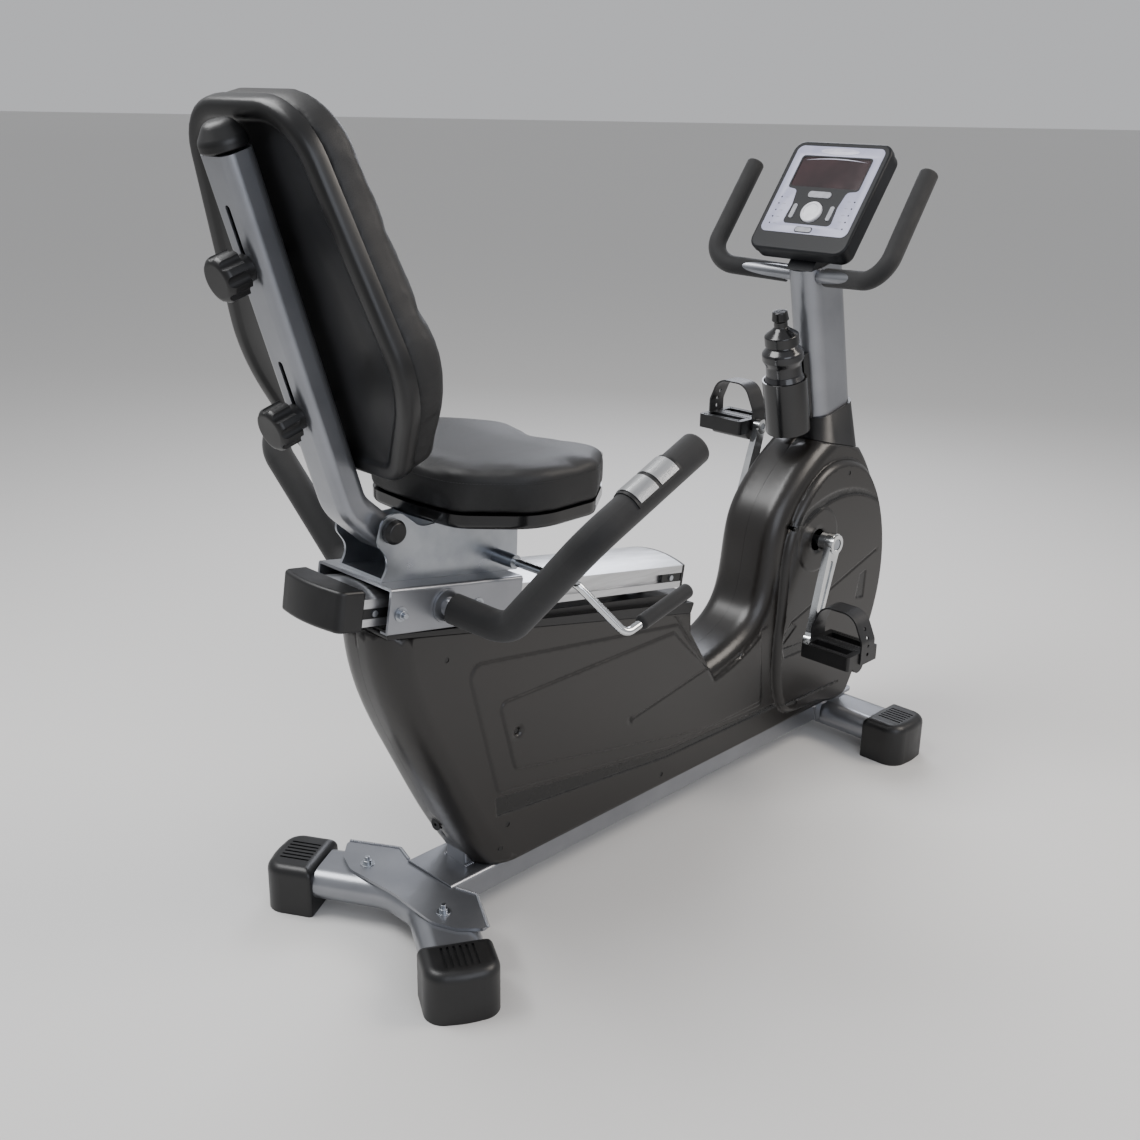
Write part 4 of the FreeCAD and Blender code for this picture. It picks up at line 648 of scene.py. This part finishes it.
def pressFlat(shape, flat, level, side, extra, look):
    chosen = set(flat)
    rim = [e for e in {e for f in flat for e in f.edges} if len([f for f in e.link_faces if f in chosen]) == 1]
    rimVerts = list({v for e in rim for v in e.verts})
    number = {v: i for i, v in enumerate(rimVerts)}
    flatten = [Vector(((v.co.x - crankX) / mm, v.co.z / mm)) for v in rimVerts]
    tree = BVHTree.FromPolygons([(*spot, 0) for spot in
                                 [((v.co.x - crankX) / mm, v.co.z / mm) for f in flat for v in f.verts]],
                                [(3 * i, 3 * i + 1, 3 * i + 2) for i in range(len(flat))])

    def onFlat(x, z):
        return tree.ray_cast(Vector((x, z, 10)), Vector((0, 0, -1)))[0] is not None

    rimLine = [(flatten[number[e.verts[0]]], flatten[number[e.verts[1]]]) for e in rim]
    low = np.array([tuple(p) for p in flatten]).min(0)
    high = np.array([tuple(p) for p in flatten]).max(0)
    step = look["gridStep"]
    grid = [(low[0] + step * (i + 0.5 * (k % 2)), low[1] + step * 0.87 * k)
            for k in range(int((high[1] - low[1]) / step / 0.87) + 1)
            for i in range(int((high[0] - low[0]) / step) + 1)]
    spots = np.array(grid + [tuple(p) for p in extra])
    keep = np.array([onFlat(*spot) for spot in spots])
    spots = spots[keep]
    near = np.full(len(spots), 1e9)
    for a, b in rimLine:
        near = np.minimum(near, lineDistance(spots, [tuple(a), tuple(b)]))
    spots = thinned(spots[near > look["edgeGap"]], look["pointGap"])
    edges = [(number[e.verts[0]], number[e.verts[1]]) for e in rim]
    given = flatten + [Vector(spot) for spot in spots]
    found, _, triangles, origins, _, _ = delaunay_2d_cdt(given, edges, [], 0, 0.0001)
    near = np.full(len(found), 1e9)
    spots = np.array([tuple(p) for p in found])
    for a, b in rimLine:
        near = np.minimum(near, lineDistance(spots, [tuple(a), tuple(b)]))
    height = coverHeight(spots, look) * easedStep(near / look["edgeFade"])
    verts = []
    for i, point in enumerate(found):
        old = [k for k in origins[i] if k < len(rimVerts)]
        if old:
            verts.append(rimVerts[old[0]])
        else:
            verts.append(shape.verts.new((crankX + point.x * mm, level + side * height[i] * mm, point.y * mm)))
    bmesh.ops.delete(shape, geom=flat, context="FACES_ONLY")
    for corners in triangles:
        x, z = sum((spots[k] for k in corners), np.zeros(2)) / 3
        if onFlat(x, z):
            order = corners if side < 0 else corners[::-1]
            try:
                shape.faces.new([verts[k] for k in order])
            except ValueError:      # that triangle is there already
                continue
    bmesh.ops.delete(shape, geom=[v for v in shape.verts if not v.link_faces], context="VERTS")


def paintRecessShade(made, side, look):
    # painted shade: the floors of the recesses get a second, almost black finish that stands in for the shade that
    # falls in them
    made.data.materials.append(materials["recessShadeAbs"])
    count = len(made.data.polygons)
    centres, normals = np.zeros(count * 3), np.zeros(count * 3)
    made.data.polygons.foreach_get("center", centres)
    made.data.polygons.foreach_get("normal", normals)
    centres, normals = centres.reshape(-1, 3), normals.reshape(-1, 3)
    spots = np.stack([(centres[:, 0] - crankX) / mm, centres[:, 2] / mm], 1)
    low = coverHeight(spots, {**look, "grooves": [], "dots": []})
    raised = coverHeight(spots, {**look, "recesses": [], "grooves": [], "dots": [],
                                 "crescent": (*look["crescent"][:2], 0, 5)})
    # faces deep in a recess and facing out are the ones that get the painted shade
    deep = (low - raised < -look["shadeFrom"]) & (normals[:, 1] * side > 0.4)
    deep &= centres[:, 1] * side > look["outer"] * mm
    made.data.polygons.foreach_set("material_index", deep.astype(np.int32))
    made.data.update()


def thinned(spots, gap):
    # one point for each small square
    cells = {}
    for spot in spots:
        cells.setdefault((round(spot[0] / gap), round(spot[1] / gap)), spot)
    return np.array(list(cells.values()))


for node, side in (("shroud_right", -1), ("shroud_left", 1)):
    moulding = dressedCover(node, side, coverLook)
    ready(moulding, "frame", materials["brownBlackAbs"], [node])
    paintRecessShade(moulding, side, coverLook)
print("covers are moulded")


# ---- cushions

seatLook = {"voxel": 5.0, "pressure": 4.0, "swell": 6.0, "dip": 5.0, "frontDrop": 9.0, "seamBelow": 19.0,
            "fill": 0.8, "stitchPitch": 4.5, "stitch": (3.0, 0.9, 0.9), "stitchAbove": 3.2}
backLook = {"voxel": 5.5, "pressure": 4.0, "swell": 6.0, "hollow": 9.0, "lumbar": 6.0, "seam": 30.0,
            "fill": 0.75}
seamLook = {"half": 2.2, "depth": 1.6}      # the groove that the cover's seam pulls in
clothLook = {"frames": 20, "quality": 4, "bending": 12, "tension": 40}
relaxLook = {"factor": 0.5, "repeats": 7, "sharpAngle": 80}


def swollen(node, name, look):
    # the cushion's closed form, remeshed evenly and blown up a little under its cover
    made = weldedCopy(node, name)
    remesh = made.modifiers.new("even", "REMESH")
    remesh.mode = "VOXEL"
    remesh.voxel_size = look["voxel"] * mm
    made = bakedDown(made)
    before = np.array([vert.co for vert in made.data.vertices])
    cloth = made.modifiers.new("cover", "CLOTH")
    cloth.settings.use_pressure = True
    cloth.settings.uniform_pressure_force = look["pressure"]
    cloth.settings.effector_weights.gravity = 0
    cloth.settings.quality = clothLook["quality"]
    cloth.settings.bending_stiffness = clothLook["bending"]
    cloth.settings.tension_stiffness = cloth.settings.compression_stiffness = clothLook["tension"]
    scene = bpy.context.scene
    cloth.point_cache.frame_start, cloth.point_cache.frame_end = 1, clothLook["frames"]
    for number in range(1, clothLook["frames"] + 1):
        scene.frame_set(number)
    made = bakedDown(made)
    scene.frame_set(1)
    after = np.array([vert.co for vert in made.data.vertices])
    move = after - before
    length = np.linalg.norm(move, axis=1)
    limit = look["swell"] * mm
    share = np.where(length > 1e-9, limit * np.tanh(length / limit) / np.maximum(length, 1e-9), 0)
    return made, before + move * share[:, None]


def shapeSeat(look):
    made, spots = swollen("seat_cushion", "seat_cushion_cover", look)
    low, high = (np.array(corner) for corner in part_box("seat_cushion"))
    middle = (low + high) / 2
    half = (high - low) / 2
    across = np.clip(np.abs(spots[:, 1] - middle[1]) / half[1], 0, 1)
    along = (spots[:, 0] - low[0]) / (high[0] - low[0])
    top = easedStep((spots[:, 2] - middle[2]) / half[2])
    dip = look["dip"] * (1 - easedStep(across / 0.75)) * easedStep(along / 0.25)
    drop = look["frontDrop"] * easedStep((along - 0.62) / 0.38)
    spots[:, 2] -= (dip + drop) * mm * top
    seam = high[2] - look["seamBelow"] * mm
    ring = np.exp(-((spots[:, 2] - seam) / (seamLook["half"] * mm)) ** 2)
    inward = spots - middle
    inward[:, 2] = 0
    inward /= np.maximum(np.linalg.norm(inward, axis=1), 1e-6)[:, None]
    spots -= inward * (ring * seamLook["depth"] * mm)[:, None]
    spots[:, 2] = np.maximum(spots[:, 2], low[2])
    return finishCushion(made, spots)


def finishCushion(made, spots):
    made.data.vertices.foreach_set("co", spots.astype(np.float32).ravel())
    made.data.update()
    smooth = made.modifiers.new("relax", "SMOOTH")
    smooth.factor, smooth.iterations = relaxLook["factor"], relaxLook["repeats"]
    finer = made.modifiers.new("finer", "SUBSURF")
    finer.levels = finer.render_levels = 1
    return tidyMesh(bakedDown(made), angle=relaxLook["sharpAngle"])


def shapeBack(look):
    made, spots = swollen("backrest_cushion", "backrest_cushion_cover", look)
    turned = np.array(backFace.to_3x3())
    origin = np.array(backFace.translation)
    local = (spots - origin) @ turned      # across, up, out towards the rider
    front = easedStep((local[:, 2] - (local[:, 2].max() - 0.03)) / 0.03)
    across = np.abs(local[:, 0]) / np.abs(local[:, 0]).max()
    hollow = look["hollow"] * (1 - easedStep(across / 0.85))
    lumbar = look["lumbar"] * np.exp(-((local[:, 1] - 0.03) / 0.07) ** 2)
    local[:, 2] -= (hollow - lumbar) * mm * front
    depth = look["seam"] * mm
    ring = np.exp(-((local[:, 2] - local[:, 2].min() - depth) / (seamLook["half"] * mm)) ** 2)
    middle = np.array((0, (local[:, 1].max() + local[:, 1].min()) / 2))
    away = local[:, :2] - middle
    away /= np.maximum(np.linalg.norm(away, axis=1), 1e-6)[:, None]
    local[:, :2] -= away * (ring * seamLook["depth"] * mm)[:, None]
    return finishCushion(made, local @ turned.T + origin)


def sewnSeams(look):
    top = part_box("seat_cushion")[1].z
    plan = sideLoop("seat_cushion", top - look["seamBelow"] * mm)
    line = [point + Vector((0, 0, look["stitchAbove"] * mm)) for point in plan]
    stitches = repeatAlong("seat_stitches", [line + line[:1]], look["stitchPitch"], look["stitch"], "strapPvc")
    ready(stitches, "seat", materials["strapPvc"])


def sideLoop(name, height):
    # where the finished cushion's side meets a level plane, in order round it
    cushion = bpy.data.objects[name + "_cover"]
    shape = bmesh.new()
    shape.from_mesh(cushion.data)
    cut = bmesh.ops.bisect_plane(shape, geom=shape.verts[:] + shape.edges[:] + shape.faces[:],
                                 plane_co=(0, 0, height), plane_no=(0, 0, 1))["geom_cut"]
    spots = [item.co.copy() for item in cut if isinstance(item, bmesh.types.BMVert)]
    shape.free()
    middle = sum(spots, Vector()) / len(spots)
    spots.sort(key=lambda spot: math.atan2(spot.y - middle.y, spot.x - middle.x))
    return [spot + (spot - middle).normalized() * 0.0003 for spot in spots[::3]]


backOrigin = -166      # from the upper knob's axis down the post to the back's own origin
backFace = jointFrame("knob_upper_turn", backOrigin, 1)
seatCushion = shapeSeat(seatLook)
ready(seatCushion, "seat", materials["blackVinyl"], ["seat_cushion"])
backCushion = shapeBack(backLook)
ready(backCushion, "backrest", materials["blackVinyl"], ["backrest_cushion"])
sewnSeams(seatLook)
print("cushions are covered")


# ---- back panel

panelLook = {
    "corners": [(-104, -128, 46), (-182, 6, 150), (-112, 346, 84), (112, 346, 84), (182, 6, 150),
                (104, -128, 46)],
    # margin and depth of each ring of the moulding, from the cushion's side over the rim
    "rings": [(0.4, 22.3), (0, 20), (0, 9), (1.4, 4.4), (4.5, 1.3), (9, 0.4), (18, 0.4), (21.5, 1.4),
              (24.5, 4.2), (28, 5.2), (60, 5.6)],
}


def makeBackPanel(look):
    loops = [[backFace @ Vector((spot.x * mm, spot.y * mm, deep * mm))
              for spot in roundedLoop(look["corners"], margin)] for margin, deep in look["rings"]]
    return stackedLoops("back_panel", loops)


ready(makeBackPanel(panelLook), "backrest", materials["satinBlack"], ["backrest_shell"])


# ---- console face

consoleLook = {
    "overlay": rectangle(-89, -76, 89, 99, 12),
    "window": [(-73, 80, 7), (73, 80, 7), (73, 13, 7), (52, 10, 8), (47, -20, 14), (50, -58, 8),
               (-50, -58, 8), (-47, -20, 14), (-52, 10, 8), (-73, 13, 7)],
    "lowButton": rectangle(-18, -74, 18, -62, 5),
    "badge": (0, 89.5, 39, 6.5),          # middle, half width, half height
    "dialBelow": 33,                      # the dial's axis is this far under the face's middle
    "thick": 0.5, "bevel": 0.1, "badgeBevel": 0.15, "dotDeep": 0.5, "mark": (1.2, 9, 0.4),
    "dotRows": [(-75, -7, -60), (75, -7, -60)], "dotPitch": 13.2, "dot": 3.4,
    "bars": [(-64, -7, -60), (64, -7, -60)],
    "arch": (60, 71, 5.0, 1.6),           # half width, height, rise and width of the line over the display
    "displayDeep": 0.8,                   # how far the display's window lies below the face
}


def makeConsoleFace(look):
    face = jointFrame("dial_turn", look["dialBelow"])
    level = face @ Matrix.Translation((0, 0, look["thick"] * mm))
    loops = [roundedLoop(look[key]) for key in ("overlay", "window", "lowButton")]
    overlay = flatPlate("console_overlay", loops, look["thick"], look["bevel"], face)
    ready(overlay, "frame", materials["lavenderOverlay"])
    across, up, half, tall = look["badge"]
    oval = [Vector((across + half * math.cos(turn), up + tall * math.sin(turn)))
            for turn in (2 * math.pi * k / 48 for k in range(48))]
    badge = flatPlate("console_badge", [oval], look["thick"], look["badgeBevel"], level)
    ready(badge, "frame", materials["paleOverlay"])

    def columns(rows):
        return [[level @ Vector((u * mm, v * mm, 0)) for v in (high, low)] for u, high, low in rows]

    dots = repeatAlong("console_dots", columns(look["dotRows"]), look["dotPitch"],
                       (look["dot"], look["dot"], look["dotDeep"]), "consoleGrey")
    ready(dots, "frame", materials["consoleGrey"])
    marks = repeatAlong("console_marks", columns(look["bars"]), look["dotPitch"], look["mark"], "greyButton")
    ready(marks, "frame", materials["greyButton"])
    half, height, rise, width = look["arch"]
    spots = [-half + 2 * half * k / 24 for k in range(25)]
    upper = [Vector((u, height + rise * (1 - (u / half) ** 2))) for u in spots]
    lower = [Vector((u, height + (rise - width) * (1 - (u / half) ** 2))) for u in reversed(spots[1:-1])]
    display = face @ Matrix.Translation((0, 0, -look["displayDeep"] * mm))
    arch = flatPlate("display_arch", [upper + lower], look["thick"], look["bevel"], display)
    ready(arch, "frame", materials["paleOverlay"])


makeConsoleFace(consoleLook)
print("console face is printed")


# ---- weld beads and pedal treads

weldLook = {
    "pitch": 3.2, "bead": (4.2, 6.0, 4.6),
    # along the saddle plate's front edge: X and Y of each corner, and the plate's height on the tube
    "plateEdge": ((-854, 57), (-843.5, 90), (-862, 121), (-886, 161)), "plateRise": 5.6,
    # beside the foot of the seat posts: Y, and where it starts and ends behind the post
    "postSide": 24, "postFrom": 15, "postTo": 50,
}
treadLook = {"pitch": 5.0, "stud": (4.2, 2.6, 2.4), "rows": (-40, -8, 8, 40), "inset": 9}


def weldBeads(look):
    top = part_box("rear_stabilizer")[1].z + look["plateRise"] * mm
    lines = [[Vector((place(x, 0, 0).x, side * y * mm, top)) for x, y in look["plateEdge"]]
             for side in (-1, 1)]
    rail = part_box("main_rail")[1].z
    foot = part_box("seat_posts")[0].x
    lines += [[Vector((foot + x * mm, side * look["postSide"] * mm, rail))
               for x in (look["postFrom"], look["postTo"])] for side in (-1, 1)]
    beads = repeatAlong("weld_beads", lines, look["pitch"], look["bead"], "silverPaint")
    ready(beads, "frame", materials["silverPaint"])


def pedalTreads(look):
    for name in ("pedal_right", "pedal_left"):
        low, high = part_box(name)
        middle = (low + high) / 2
        ends = (low.y + look["inset"] * mm, high.y - look["inset"] * mm)
        lines = [[Vector((middle.x + x * mm, y, high.z)) for y in ends] for x in look["rows"]]
        studs = repeatAlong(name + "_treads", lines, look["pitch"], look["stud"], "mouldedBlack")
        ready(studs, name, materials["mouldedBlack"])


weldBeads(weldLook)
pedalTreads(treadLook)
print("welds and treads are on")
